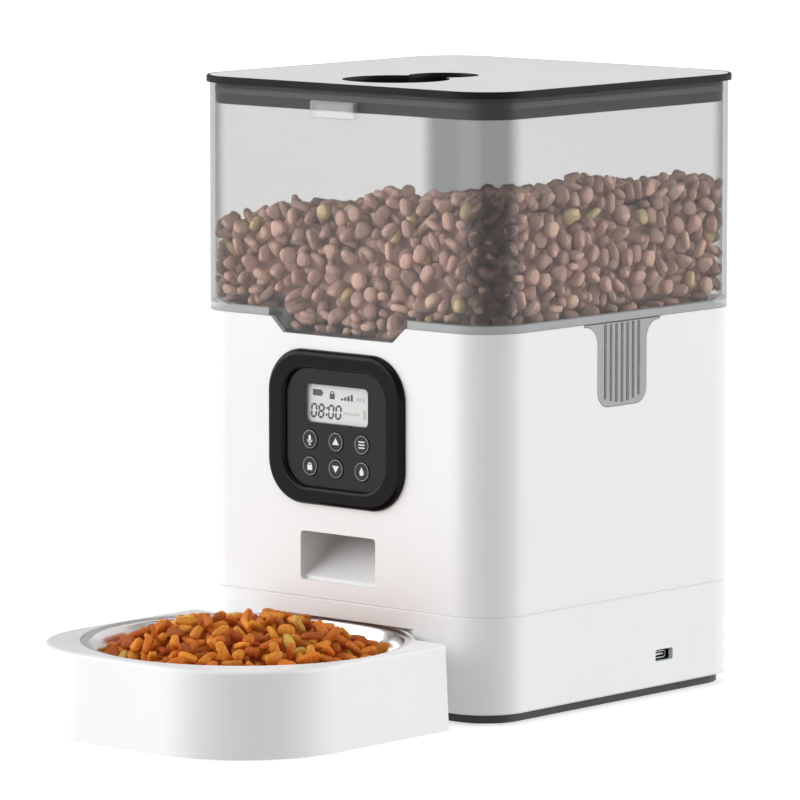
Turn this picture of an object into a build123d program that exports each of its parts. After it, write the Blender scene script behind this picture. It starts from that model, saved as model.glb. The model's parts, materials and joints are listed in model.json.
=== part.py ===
from build123d import *
import os
from math import cos, pi, radians, sin, tan

os.makedirs("parts", exist_ok=True)

# Automatic pet feeder. Millimetres, +Z up, the front faces -Y.
# The origin is on the floor, under the middle of the whole feeder, bowl tray included.

# ---- driving dimensions ----
TOWER_WIDTH = 190.0
TOWER_DEPTH = 189.0
CORNER_R = 23.7
WALL = 2.6                  # housing walls
HOPPER_WALL = 2.4
LID_OVERHANG = 1.5
TRAY_REACH = 242.2          # from the tower's centre to the front of the tray
FIT = 0.3                   # gap between pieces that slide past each other

# levels above the floor
Z_COVER = 0.8               # underside of the bottom cover
Z_BASE = 5.1                # lower edge of the base housing
Z_SEAM = 50.7               # base housing meets upper housing
Z_DECK = 136.0              # deck inside the upper housing
Z_HOPPER = 182.8            # upper housing meets hopper
Z_RIM = 291.6               # top edge of the hopper
Z_TOP = 294.8               # top of the lid

# ---- tower frame ----
HALF_W = TOWER_WIDTH / 2
HALF_D = TOWER_DEPTH / 2
TOWER_Y = (TRAY_REACH - HALF_D - LID_OVERHANG) / 2
FRONT_Y = TOWER_Y - HALF_D


def level(z):
    """Horizontal plane at height z, centred on the tower."""
    return Plane(origin=(0, TOWER_Y, z))


def front(depth=0.0):
    """Upright plane a depth behind the front face; sketches on it are in x and z."""
    return Plane(origin=(0, FRONT_Y + depth, 0), x_dir=(1, 0, 0), z_dir=(0, -1, 0))


def side(depth=0.0):
    """Upright plane a depth inside the right face; sketches on it are in y and z."""
    return Plane(origin=(HALF_W - depth, TOWER_Y, 0), x_dir=(0, 1, 0), z_dir=(1, 0, 0))


def outline(inset, mode=Mode.ADD):
    """Rounded-square outline of the tower, drawn in by an inset."""
    RectangleRounded(TOWER_WIDTH - 2 * inset, TOWER_DEPTH - 2 * inset, CORNER_R - inset, mode=mode)


# ---- bowl and the recess it tucks into ----
BOWL_Y = -158.0             # bowl's centre, from the tower's centre
BOWL_R = 76.6               # bowl's rim
NECK_R = 78.8               # rear of the tray, around the bowl
RECESS_R = 79.4
RECESS_TOP = 42.3
RECESS_SKIN = 2.4

# ---- screws that hold the tower together ----
BOSS_R = 6.2
BOSS_IN = 12.95             # boss centre, in from the side and front faces
SCREW_R = 1.5
BOSSES = [(sx * (HALF_W - BOSS_IN), sy * (HALF_D - BOSS_IN)) for sx in (-1, 1) for sy in (-1, 1)]
SCREW_TOP = 74.0
SCREW_HEAD_R = 2.9
SCREW_HEAD_TOP = Z_COVER + 2.2

# ---- control panel ----
PANEL_Z = 132.2
BEZEL_W, BEZEL_H, BEZEL_R = 85.2, 73.6, 21.0
FACE_W, FACE_H, FACE_R = 62.8, 55.8, 14.0
COLLAR_W, COLLAR_H, COLLAR_R = 80.0, 68.0, 18.4
BEZEL_PROUD = 3.0
COLLAR_DEPTH = 9.0
LCD_Z = 143.7
LCD_W, LCD_H, LCD_R = 40.0, 18.2, 2.6
KEY_HOLE_R = 4.95
KEY_R = 4.75
KEY_TRAVEL = 0.8
KEY_X = 16.35
KEY_ROWS = (126.4, 113.7)
KEYS = {
    "key_voice": (-KEY_X, KEY_ROWS[0]),
    "key_up": (0, KEY_ROWS[0]),
    "key_set": (KEY_X, KEY_ROWS[0]),
    "key_lock": (-KEY_X, KEY_ROWS[1]),
    "key_down": (0, KEY_ROWS[1]),
    "key_feed": (KEY_X, KEY_ROWS[1]),
}

# ---- outlet and chute, in y from the tower's centre and z ----
OUTLET_HALF = 23.6
OUTLET_LOW, OUTLET_HIGH = 59.0, 82.4
PAN_FLOOR = 112.0           # underside of the rotor pan
EXIT_REAR, EXIT_FRONT = -17.0, -44.0
CHUTE_SKIN = 2.4
RAMP = (PAN_FLOOR - OUTLET_LOW) / (EXIT_REAR + HALF_D)

# ---- rotor and gears, in y from the tower's centre ----
ROTOR_Y = 8.0
PAN_R = 54.0
PAN_SKIN = 2.5
PAN_TOP = 149.4
DECK_T = 2.5
MODULE = 0.8
OUTPUT_TEETH, IDLER_SMALL, IDLER_BIG, PINION_TEETH = 40, 12, 36, 12
IDLER_Y = ROTOR_Y + MODULE * (OUTPUT_TEETH + IDLER_SMALL) / 2
MOTOR_Y = IDLER_Y + MODULE * (IDLER_BIG + PINION_TEETH) / 2
SHAFT_R = 4.0
RUNNING = 0.05              # radial clearance of a shaft in its bearing
BOX_LOW, BOX_HIGH = 88.0, 108.0

# ---- release tabs ----
TAB_HALF = 17.9
TAB_LOW = 143.0
TAB_FOOT_R = 8.0
TAB_FLARE_R = 9.0
TAB_T = 2.4
TAB_TOP = Z_HOPPER - 0.4

# ---- hopper, catch and lid ----
THROAT_Z = 150.0
THROAT_HALF, THROAT_CORNER = 54.6, 52.0
FLOOR_Z = 188.0             # hopper's floor where it meets the walls
TROUGH_HALF, TROUGH_Z = 38.0, 177.6     # lower floor behind the dip in the front edge
TROUGH_SKIN = 2.2
CATCH_HALF, CATCH_LOW, CATCH_HIGH, CATCH_PROUD = 14.0, 278.6, 286.8, 4.0
DIP_TOP_HALF, DIP_LOW_HALF, DIP_Z = 42.0, 34.0, 175.9
Z_SKIRT = 281.5
SKIRT_IN, SKIRT_T = 3.0, 2.0
PLATE_T = 1.8
CUP_FLOOR = 281.8
CUP_SKIN = 1.6
CUP_FRONT_Y, CUP_FRONT_R = -53.0, 25.5
CUP_REAR_Y, CUP_REAR_R = -18.6, 16.7
BOLT_HALF, BOLT_LOW, BOLT_HIGH = 10.0, 282.0, 284.8

# ---- inlet and battery box ----
PORT_Y, PORT_Z, PORT_W, PORT_H = 32.5, 20.0, 13.0, 5.6
BATTERY_Y = 8.0
BATTERY_W, BATTERY_D, BATTERY_TOP = 105.6, 63.6, 41.0
BOARD_Z = 18.2              # top of the power board
SPEAKER_Z, SPEAKER_R = 100.0, 18.0

# ---- tray ----
TRAY_HALF = 81.7
TRAY_REAR = -106.0
TRAY_CORNER_R = 54.0
TRAY_FOOT = 0.5
TRAY_TOP = 40.6
TRAY_DRAFT = 2.4
TRAY_SKIN = 2.6
WELL_R = 74.8
WELL_FLOOR = 3.0
RIM_Z = 39.2                # ledge that carries the bowl's rim


def tab_shape(gap, top):
    """Edge of a release tab, which flares into the hopper's lower edge, grown by a gap."""
    half = TAB_HALF + gap
    wide = half + TAB_FLARE_R + 1
    lip = TAB_TOP - 0.6 - gap
    FilletPolyline(
        (-wide, top), (-wide, lip), (-half, lip), (-half, TAB_LOW - gap),
        (half, TAB_LOW - gap), (half, lip), (wide, lip), (wide, top),
        radius=[0, 0, TAB_FLARE_R - gap, TAB_FOOT_R, TAB_FOOT_R, TAB_FLARE_R - gap, 0, 0],
        close=True)


# ======== housing ========

with BuildPart() as upper_housing:
    with BuildSketch(level(Z_SEAM)):
        outline(0)
    extrude(amount=Z_HOPPER - Z_SEAM)
    chamfer(upper_housing.faces().sort_by(Axis.Z)[0].edges(), length=0.5)
    with BuildSketch(level(Z_SEAM)):
        outline(WALL)
    extrude(amount=Z_HOPPER - Z_SEAM, mode=Mode.SUBTRACT)
    # deck that carries the rotor pan, notched behind the control panel
    with BuildSketch(level(Z_DECK)):
        outline(WALL)
        with Locations((0, ROTOR_Y)):
            Circle(PAN_R + PAN_SKIN + FIT, mode=Mode.SUBTRACT)
        with Locations((0, -HALF_D)):
            Rectangle(COLLAR_W + 6, 4 * COLLAR_DEPTH, mode=Mode.SUBTRACT)
        with Locations((0, ROTOR_Y)):
            with PolarLocations(PAN_R + 6.5, 4, start_angle=45):
                Circle(SCREW_R, mode=Mode.SUBTRACT)
    extrude(amount=DECK_T)
    # screw bosses in the corners
    with BuildSketch(level(Z_SEAM)):
        with Locations(*BOSSES):
            Circle(BOSS_R)
            Circle(SCREW_R, mode=Mode.SUBTRACT)
    extrude(amount=SCREW_TOP - Z_SEAM + 4)
    # opening for the control panel
    with BuildSketch(front()):
        with Locations((0, PANEL_Z)):
            RectangleRounded(COLLAR_W, COLLAR_H, COLLAR_R)
    extrude(amount=-2 * WALL, mode=Mode.SUBTRACT)
    # food outlet, in line with the chute's ramp
    with BuildSketch(front()):
        with Locations((0, (OUTLET_LOW + OUTLET_HIGH) / 2)):
            RectangleRounded(2 * OUTLET_HALF, OUTLET_HIGH - OUTLET_LOW, 2.0)
    extrude(amount=-2 * WALL, mode=Mode.SUBTRACT)
    # the hopper's front edge dips into this notch
    with BuildSketch(front()):
        with BuildLine():
            Polyline(
                (-DIP_TOP_HALF - FIT, Z_HOPPER), (-DIP_LOW_HALF - FIT, DIP_Z - FIT),
                (DIP_LOW_HALF + FIT, DIP_Z - FIT), (DIP_TOP_HALF + FIT, Z_HOPPER), close=True)
        make_face()
    extrude(amount=-2 * WALL, mode=Mode.SUBTRACT)
    # notches for the two release tabs
    with BuildSketch(side()):
        with BuildLine():
            tab_shape(FIT, Z_HOPPER)
        make_face()
    extrude(amount=-TOWER_WIDTH, mode=Mode.SUBTRACT)
    # speaker slots in the rear wall
    with BuildSketch(front(TOWER_DEPTH - 2 * WALL)):
        with Locations((0, SPEAKER_Z)):
            with GridLocations(4.2, 0, 7, 1):
                SlotOverall(24, 2, rotation=90)
    extrude(amount=-3 * WALL, mode=Mode.SUBTRACT)

with BuildPart() as base_housing:
    with BuildSketch(level(Z_BASE)):
        outline(0)
    extrude(amount=Z_SEAM - Z_BASE)
    chamfer(base_housing.faces().sort_by(Axis.Z)[-1].edges(), length=0.5)
    fillet(base_housing.faces().sort_by(Axis.Z)[0].edges(), radius=1.2)
    with BuildSketch(level(Z_BASE + WALL)):
        outline(WALL)
    extrude(amount=Z_SEAM - Z_BASE, mode=Mode.SUBTRACT)
    with BuildSketch(level(Z_BASE)):
        outline(12)
    extrude(amount=WALL, mode=Mode.SUBTRACT)
    # skin of the recess that takes the back of the bowl
    with BuildSketch(level(Z_BASE)):
        outline(0.4)
        with Locations((0, BOWL_Y)):
            Circle(RECESS_R + RECESS_SKIN, mode=Mode.INTERSECT)
    extrude(amount=RECESS_TOP + RECESS_SKIN - Z_BASE)
    with BuildSketch(level(Z_BASE)):
        with Locations((0, BOWL_Y)):
            Circle(RECESS_R)
    extrude(amount=RECESS_TOP - Z_BASE, mode=Mode.SUBTRACT)
    # screw sleeves in the corners
    with BuildSketch(level(Z_BASE)):
        with Locations(*BOSSES):
            Circle(BOSS_R)
    extrude(amount=Z_SEAM - Z_BASE)
    with BuildSketch(level(Z_BASE)):
        with Locations(*BOSSES):
            Circle(SCREW_R)
    extrude(amount=Z_SEAM - Z_BASE, mode=Mode.SUBTRACT)
    # cable inlet in the right wall
    with BuildSketch(side()):
        with Locations((PORT_Y, PORT_Z)):
            RectangleRounded(PORT_W, PORT_H, 1.0)
    extrude(amount=-2 * WALL, mode=Mode.SUBTRACT)

FEET = [(sx * 66.0, sy * 78.0) for sx in (-1, 1) for sy in (-1, 1)]
FOOT_R, FOOT_T = 6.5, 2.0
COVER_IN = 4.2
COVER_T = 2.4
DOOR_W, DOOR_D, DOOR_T = BATTERY_W - 0.8, BATTERY_D - 0.8, 2.2
LEDGE = 3.0

with BuildPart() as bottom_cover:
    with BuildSketch(level(Z_COVER)):
        outline(COVER_IN)
    extrude(amount=Z_BASE - Z_COVER)
    with BuildSketch(level(Z_COVER + COVER_T)):
        outline(COVER_IN + 14)
    extrude(amount=Z_BASE - Z_COVER, mode=Mode.SUBTRACT)
    # battery box, open underneath, and posts for the power board
    with BuildSketch(level(Z_COVER)):
        with Locations((0, BATTERY_Y)):
            Rectangle(BATTERY_W + 2 * COVER_T, BATTERY_D + 2 * COVER_T)
    extrude(amount=BATTERY_TOP + COVER_T - Z_COVER)
    with BuildSketch(level(Z_COVER)):
        with Locations((0, BATTERY_Y)):
            Rectangle(BATTERY_W, BATTERY_D)
    extrude(amount=BATTERY_TOP - Z_COVER, mode=Mode.SUBTRACT)
    with BuildSketch(level(Z_COVER + DOOR_T)):
        with Locations((0, BATTERY_Y)):
            with GridLocations(BATTERY_W - LEDGE, BATTERY_D - LEDGE, 2, 2):
                Rectangle(LEDGE, LEDGE)
    extrude(amount=1.5)
    with BuildSketch(level(Z_COVER)):
        with Locations((74, PORT_Y)):
            with GridLocations(12, 28, 2, 2):
                Circle(2.2)
    extrude(amount=BOARD_Z - 1.6 - Z_COVER)
    # recess for the bowl, foot pockets and counterbored screw holes
    with BuildSketch(level(Z_COVER)):
        with Locations((0, BOWL_Y)):
            Circle(RECESS_R)
    extrude(amount=Z_BASE, mode=Mode.SUBTRACT)
    with BuildSketch(level(Z_COVER)):
        with Locations(*FEET):
            Circle(FOOT_R)
    extrude(amount=FOOT_T - Z_COVER, mode=Mode.SUBTRACT)
    with BuildSketch(level(Z_COVER)):
        with Locations(*BOSSES):
            Circle(SCREW_R)
    extrude(amount=Z_BASE, mode=Mode.SUBTRACT)
    with BuildSketch(level(Z_COVER)):
        with Locations(*BOSSES):
            Circle(SCREW_HEAD_R + 0.2)
    extrude(amount=SCREW_HEAD_TOP - Z_COVER, mode=Mode.SUBTRACT)

with BuildPart() as rubber_feet:
    with BuildSketch(level(0)):
        with Locations(*FEET):
            Circle(FOOT_R)
    extrude(amount=FOOT_T)

with BuildPart() as housing_screws:
    with BuildSketch(level(Z_COVER + 0.2)):
        with Locations(*BOSSES):
            Circle(SCREW_HEAD_R)
    extrude(amount=SCREW_HEAD_TOP - Z_COVER - 0.2)
    with BuildSketch(level(SCREW_HEAD_TOP)):
        with Locations(*BOSSES):
            Circle(SCREW_R)
    extrude(amount=SCREW_TOP - SCREW_HEAD_TOP)
    with BuildSketch(level(Z_COVER + 0.2)):
        with Locations(*BOSSES):
            Rectangle(3.6, 0.8)
            Rectangle(0.8, 3.6)
    extrude(amount=1.0, mode=Mode.SUBTRACT)

# The door's hinged edge is fully rounded, so it turns without touching the box.
with BuildPart() as battery_door:
    with BuildSketch(level(Z_COVER)):
        with Locations((0, BATTERY_Y)):
            Rectangle(DOOR_W, DOOR_D)
    extrude(amount=DOOR_T)
    hinge_edges = battery_door.edges().filter_by(Axis.X).group_by(Axis.Y)[0]
    fillet(hinge_edges, radius=DOOR_T / 2 - 0.01)
    # finger ridges by the free edge
    with BuildSketch(level(Z_COVER)):
        with Locations((0, BATTERY_Y + DOOR_D / 2 - 8)):
            with GridLocations(0, 2.4, 1, 4):
                Rectangle(30, 1.1)
    extrude(amount=0.6, mode=Mode.SUBTRACT)

with BuildPart() as battery_contacts:
    with BuildSketch(level(8)):
        with Locations((0, BATTERY_Y)):
            with GridLocations(BATTERY_W / 3, BATTERY_D - 0.6, 3, 2):
                Rectangle(15, 0.6)
    extrude(amount=26)

# ======== food path ========

with BuildPart() as rotor_pan:
    with BuildSketch(level(PAN_FLOOR)):
        with Locations((0, ROTOR_Y)):
            Circle(PAN_R + PAN_SKIN)
    extrude(amount=PAN_TOP - PAN_FLOOR)
    with BuildSketch(level(PAN_FLOOR + PAN_SKIN)):
        with Locations((0, ROTOR_Y)):
            Circle(PAN_R)
    extrude(amount=PAN_TOP - PAN_FLOOR, mode=Mode.SUBTRACT)
    with BuildSketch(level(Z_DECK + DECK_T)):
        with Locations((0, ROTOR_Y)):
            Circle(PAN_R + 10)
            Circle(PAN_R + 1, mode=Mode.SUBTRACT)
            with PolarLocations(PAN_R + 6.5, 4, start_angle=45):
                Circle(SCREW_R, mode=Mode.SUBTRACT)
    extrude(amount=2.4)
    with BuildSketch(level(PAN_FLOOR)):
        with Locations((0, ROTOR_Y)):
            Circle(SHAFT_R + FIT)
        with Locations((0, (EXIT_REAR + EXIT_FRONT) / 2)):
            RectangleRounded(40, EXIT_REAR - EXIT_FRONT, 5)
    extrude(amount=PAN_SKIN, mode=Mode.SUBTRACT)

with BuildPart() as pan_screws:
    with Locations((0, TOWER_Y + ROTOR_Y, Z_DECK)):
        with PolarLocations(PAN_R + 6.5, 4, start_angle=45):
            Cylinder(SCREW_R, DECK_T + 2.4, align=(Align.CENTER, Align.CENTER, Align.MIN))
    with Locations((0, TOWER_Y + ROTOR_Y, Z_DECK + DECK_T + 2.4)):
        with PolarLocations(PAN_R + 6.5, 4, start_angle=45):
            Cylinder(SCREW_HEAD_R, 1.9, align=(Align.CENTER, Align.CENTER, Align.MIN))


def chute_profile(skin, reach):
    """Side profile of the chute: a ramp below, a shorter roof above, grown by a skin."""
    drop = skin / cos(radians(34))
    slant = skin / sin(radians(34))
    front_y = -HALF_D + WALL - reach
    low = OUTLET_LOW + RAMP * (front_y + HALF_D)
    roof = (PAN_FLOOR - OUTLET_HIGH) / (EXIT_FRONT - 2 + HALF_D)
    high = OUTLET_HIGH + roof * (front_y + HALF_D)
    Polyline(
        (front_y, low - drop), (EXIT_REAR + slant, PAN_FLOOR),
        (EXIT_FRONT - 2 - slant, PAN_FLOOR), (front_y, high + drop), close=True)


with BuildPart() as chute:
    with BuildSketch(side(HALF_W)):
        with BuildLine():
            chute_profile(CHUTE_SKIN, 0)
        make_face()
    extrude(amount=OUTLET_HALF + CHUTE_SKIN, both=True)
    with BuildSketch(side(HALF_W)):
        with BuildLine():
            chute_profile(0, 0)
        make_face()
    extrude(amount=OUTLET_HALF, both=True, mode=Mode.SUBTRACT)

VANES = 6
with BuildPart() as rotor:
    with BuildSketch(level(PAN_FLOOR + PAN_SKIN + 0.8)):
        with Locations((0, ROTOR_Y)):
            Circle(12)
            with PolarLocations(0, VANES, start_angle=30):
                with Locations((PAN_R / 2 - 1, 0)):
                    Rectangle(PAN_R - 2, 3)
    extrude(amount=147.0 - PAN_FLOOR - PAN_SKIN - 0.8)
    with BuildSketch(level(BOX_LOW + 1.2)):
        with Locations((0, ROTOR_Y)):
            Circle(SHAFT_R)
    extrude(amount=PAN_FLOOR + PAN_SKIN + 1 - BOX_LOW - 1.2)
    fillet(rotor.faces().sort_by(Axis.Z)[-1].edges().filter_by(GeomType.CIRCLE), radius=1.0)

# ======== gear train ========


def gear(teeth, bore, turn):
    """Spur gear outline: straight-flanked teeth, a little thin, so the mesh has backlash."""
    pitch_r = MODULE * teeth / 2
    root_r = pitch_r - 1.2 * MODULE
    tip_r = pitch_r + 0.9 * MODULE
    half = 0.21 * pi * MODULE
    lean = tan(radians(20))
    Circle(root_r)
    with PolarLocations(0, teeth, start_angle=turn):
        Polygon(
            (root_r - 0.3, half + (pitch_r - root_r) * lean),
            (tip_r, half - (tip_r - pitch_r) * lean),
            (tip_r, -half + (tip_r - pitch_r) * lean),
            (root_r - 0.3, -half - (pitch_r - root_r) * lean), align=None)
    Circle(bore, mode=Mode.SUBTRACT)


OUTPUT_LOW, OUTPUT_HIGH = 100.0, 106.0
BIG_LOW, BIG_HIGH = 92.0, 97.0
AXLE_R = 1.5
MOTOR_SHAFT_R = 1.0

with BuildPart() as output_gear:
    with BuildSketch(Plane(origin=(0, TOWER_Y + ROTOR_Y, OUTPUT_LOW))):
        gear(OUTPUT_TEETH, SHAFT_R, 0)
    extrude(amount=OUTPUT_HIGH - OUTPUT_LOW)

with BuildPart() as idler_gear:
    with BuildSketch(Plane(origin=(0, TOWER_Y + IDLER_Y, OUTPUT_LOW - 0.5))):
        gear(IDLER_SMALL, AXLE_R + RUNNING, 180 / IDLER_SMALL)
    extrude(amount=OUTPUT_HIGH - OUTPUT_LOW + 1)
    with BuildSketch(Plane(origin=(0, TOWER_Y + IDLER_Y, BIG_LOW))):
        gear(IDLER_BIG, AXLE_R + RUNNING, 0)
    extrude(amount=BIG_HIGH - BIG_LOW)
    with BuildSketch(Plane(origin=(0, TOWER_Y + IDLER_Y, BIG_HIGH))):
        Circle(3.4)
        Circle(AXLE_R + RUNNING, mode=Mode.SUBTRACT)
    extrude(amount=OUTPUT_LOW - 0.5 - BIG_HIGH)

with BuildPart() as motor_pinion:
    with BuildSketch(Plane(origin=(0, TOWER_Y + MOTOR_Y, BIG_LOW - 0.5))):
        gear(PINION_TEETH, 0.5, 180 / PINION_TEETH)
    extrude(amount=BIG_HIGH - BIG_LOW + 1)
    with BuildSketch(Plane(origin=(0, TOWER_Y + MOTOR_Y, BOX_LOW - 8))):
        Circle(MOTOR_SHAFT_R)
    extrude(amount=BIG_HIGH + 0.5 - BOX_LOW + 8)

with BuildPart() as idler_axle:
    with BuildSketch(Plane(origin=(0, TOWER_Y + IDLER_Y, BOX_LOW + 1))):
        Circle(AXLE_R)
    extrude(amount=BOX_HIGH + 1.5 - BOX_LOW - 1)

MOTOR_R, MOTOR_LOW = 12.0, 57.0
with BuildPart() as drive_motor:
    with BuildSketch(Plane(origin=(0, TOWER_Y + MOTOR_Y, MOTOR_LOW))):
        Circle(MOTOR_R)
        Rectangle(4 * MOTOR_R, 18, mode=Mode.INTERSECT)
    extrude(amount=BOX_LOW - MOTOR_LOW)
    fillet(drive_motor.edges().filter_by(GeomType.CIRCLE), radius=0.8)
    with BuildSketch(Plane(origin=(0, TOWER_Y + MOTOR_Y, BOX_LOW - 8.5))):
        Circle(MOTOR_SHAFT_R + RUNNING)
    extrude(amount=8.5, mode=Mode.SUBTRACT)

GEARBOX_FRONT, GEARBOX_REAR = -11.5, 62.0
GEARBOX_HALF, GEARBOX_WALL = 25.0, 6.6
GEARBOX_MID = (GEARBOX_FRONT + GEARBOX_REAR) / 2
GEARBOX_L = GEARBOX_REAR - GEARBOX_FRONT
GEARBOX_SCREWS = [(x, y) for x in (-21.5, 21.5) for y in (GEARBOX_FRONT + 4, GEARBOX_REAR - 4)]

with BuildPart() as gearbox_case:
    with BuildSketch(level(BOX_LOW)):
        with Locations((0, GEARBOX_MID)):
            RectangleRounded(2 * GEARBOX_HALF, GEARBOX_L, 4)
    extrude(amount=BOX_HIGH - BOX_LOW)
    with BuildSketch(level(BOX_LOW + 2.5)):
        with Locations((0, GEARBOX_MID)):
            RectangleRounded(2 * (GEARBOX_HALF - GEARBOX_WALL), GEARBOX_L - 4, 3)
    extrude(amount=BOX_HIGH - BOX_LOW, mode=Mode.SUBTRACT)
    with BuildSketch(level(BOX_LOW + 1)):
        with Locations((0, ROTOR_Y)):
            Circle(SHAFT_R + RUNNING)
        with Locations((0, IDLER_Y)):
            Circle(AXLE_R)
    extrude(amount=2, mode=Mode.SUBTRACT)
    with BuildSketch(level(BOX_LOW)):
        with Locations((0, MOTOR_Y)):
            Circle(MOTOR_SHAFT_R + 0.5)
        with Locations(*GEARBOX_SCREWS):
            Circle(SCREW_R)
    extrude(amount=BOX_HIGH - BOX_LOW, mode=Mode.SUBTRACT)

with BuildPart() as gearbox_cover:
    with BuildSketch(level(BOX_HIGH)):
        with Locations((0, GEARBOX_MID)):
            RectangleRounded(2 * GEARBOX_HALF, GEARBOX_L, 4)
    extrude(amount=2.5)
    with BuildSketch(level(BOX_HIGH)):
        with Locations(*GEARBOX_SCREWS):
            Circle(3.2)
    extrude(amount=PAN_FLOOR - BOX_HIGH)
    with BuildSketch(level(BOX_HIGH)):
        with Locations((0, IDLER_Y)):
            Circle(AXLE_R)
    extrude(amount=1.5, mode=Mode.SUBTRACT)
    with BuildSketch(level(BOX_HIGH)):
        with Locations((0, ROTOR_Y)):
            Circle(SHAFT_R + FIT)
        with Locations(*GEARBOX_SCREWS):
            Circle(SCREW_R)
    extrude(amount=PAN_FLOOR - BOX_HIGH, mode=Mode.SUBTRACT)

with BuildPart() as gearbox_screws:
    with BuildSketch(level(BOX_LOW - 2)):
        with Locations(*GEARBOX_SCREWS):
            Circle(SCREW_HEAD_R)
    extrude(amount=2)
    with BuildSketch(level(BOX_LOW)):
        with Locations(*GEARBOX_SCREWS):
            Circle(SCREW_R)
    extrude(amount=PAN_FLOOR - BOX_LOW)

# ======== control panel ========

BACK_OF_COLLAR = COLLAR_DEPTH
PANEL_SCREWS = [(sx * 35.7, PANEL_Z + sz * 12) for sx in (-1, 1) for sz in (-1, 1)]

with BuildPart() as panel_bezel:
    with BuildSketch(front()):
        with Locations((0, PANEL_Z)):
            RectangleRounded(BEZEL_W, BEZEL_H, BEZEL_R)
            RectangleRounded(FACE_W, FACE_H, FACE_R, mode=Mode.SUBTRACT)
    extrude(amount=BEZEL_PROUD)
    crest = panel_bezel.faces().sort_by(Axis.Y)[0]
    fillet(crest.outer_wire().edges(), radius=2.7)
    crest = panel_bezel.faces().filter_by(Axis.Y).sort_by(Axis.Y)[0]
    fillet(crest.inner_wires()[0].edges(), radius=2.0)
    with BuildSketch(front()):
        with Locations((0, PANEL_Z)):
            RectangleRounded(COLLAR_W, COLLAR_H, COLLAR_R)
            RectangleRounded(FACE_W, FACE_H, FACE_R, mode=Mode.SUBTRACT)
    extrude(amount=-COLLAR_DEPTH)
    with BuildSketch(front(BACK_OF_COLLAR)):
        with Locations(*PANEL_SCREWS):
            Circle(1.1)
    extrude(amount=6, mode=Mode.SUBTRACT)

with BuildPart() as control_panel:
    with BuildSketch(front(1.0)):
        with Locations((0, PANEL_Z)):
            RectangleRounded(FACE_W - 0.1, FACE_H - 0.1, FACE_R)
        with Locations((0, LCD_Z)):
            RectangleRounded(LCD_W, LCD_H, LCD_R, mode=Mode.SUBTRACT)
        with Locations(*KEYS.values()):
            Circle(KEY_HOLE_R, mode=Mode.SUBTRACT)
    extrude(amount=2.0)

with BuildPart() as lcd_window:
    with BuildSketch(front(0.4)):
        with Locations((0, LCD_Z)):
            RectangleRounded(LCD_W - 0.2, LCD_H - 0.2, LCD_R)
    extrude(amount=1.2)

with BuildPart() as lcd_module:
    with BuildSketch(front(BACK_OF_COLLAR)):
        with Locations((0, LCD_Z)):
            Rectangle(46, 22.4)
    extrude(amount=BACK_OF_COLLAR - 1.2)

with BuildPart() as control_board:
    with BuildSketch(front(BACK_OF_COLLAR + 1.6)):
        with Locations((0, PANEL_Z)):
            RectangleRounded(COLLAR_W - 2, COLLAR_H - 2, COLLAR_R - 1)
        with Locations(*PANEL_SCREWS):
            Circle(1.1, mode=Mode.SUBTRACT)
    extrude(amount=1.6)

with BuildPart() as panel_screws:
    with BuildSketch(front(BACK_OF_COLLAR)):
        with Locations(*PANEL_SCREWS):
            Circle(1.1)
    extrude(amount=-1.6)
    with BuildSketch(front(BACK_OF_COLLAR)):
        with Locations(*PANEL_SCREWS):
            Circle(1.1)
    extrude(amount=5)
    with BuildSketch(front(BACK_OF_COLLAR + 3.0)):
        with Locations(*PANEL_SCREWS):
            Circle(2.1)
    extrude(amount=1.4)

SWITCH_H = 3.5
with BuildPart() as key_switches:
    with BuildSketch(front(BACK_OF_COLLAR)):
        with Locations(*KEYS.values()):
            Rectangle(6, 6)
    extrude(amount=SWITCH_H)

KEY_PROUD = 1.4
FLANGE_R, FLANGE_T = 5.6, 0.8
keys = {}
for key_name, spot in KEYS.items():
    with BuildPart() as key:
        with BuildSketch(front(1.0)):
            with Locations(spot):
                Circle(KEY_R)
        extrude(amount=1.0 + KEY_PROUD)
        fillet(key.faces().sort_by(Axis.Y)[0].edges(), radius=0.5)
        with BuildSketch(front(1.0)):
            with Locations(spot):
                Circle(FLANGE_R)
        extrude(amount=-FLANGE_T)
        with BuildSketch(front(1.0 + FLANGE_T)):
            with Locations(spot):
                Circle(2.0)
        extrude(amount=-(BACK_OF_COLLAR - SWITCH_H - KEY_TRAVEL - 0.05 - 1.0 - FLANGE_T))
    keys[key_name] = key

# ======== electronics in the base, speaker ========

with BuildPart() as power_board:
    with BuildSketch(level(BOARD_Z - 1.6)):
        with Locations((74, PORT_Y)):
            Rectangle(32, 36)
    extrude(amount=1.6)
    with BuildSketch(level(BOARD_Z)):
        with Locations((66, PORT_Y - 10), (66, PORT_Y + 10)):
            Circle(4)
    extrude(amount=10)
    with BuildSketch(level(BOARD_Z)):
        with Locations((76, PORT_Y - 11)):
            Rectangle(8, 6)
    extrude(amount=2)

SOCKET_W, SOCKET_H, SOCKET_L, SOCKET_SKIN = 8.94, 3.26, 7.3, 0.3
with BuildPart() as usb_socket:
    with BuildSketch(side(WALL + 0.2)):
        with Locations((PORT_Y, BOARD_Z + SOCKET_H / 2)):
            RectangleRounded(SOCKET_W, SOCKET_H, 1.5)
    extrude(amount=-SOCKET_L)
    with BuildSketch(side(WALL + 0.2)):
        with Locations((PORT_Y, BOARD_Z + SOCKET_H / 2)):
            RectangleRounded(SOCKET_W - 2 * SOCKET_SKIN, SOCKET_H - 2 * SOCKET_SKIN, 1.2)
    extrude(amount=-SOCKET_L + 0.8, mode=Mode.SUBTRACT)
    with BuildSketch(side(WALL + 1.0)):
        with Locations((PORT_Y, BOARD_Z + SOCKET_H / 2)):
            Rectangle(6.7, 0.7)
    extrude(amount=-SOCKET_L + 1.4)

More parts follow.
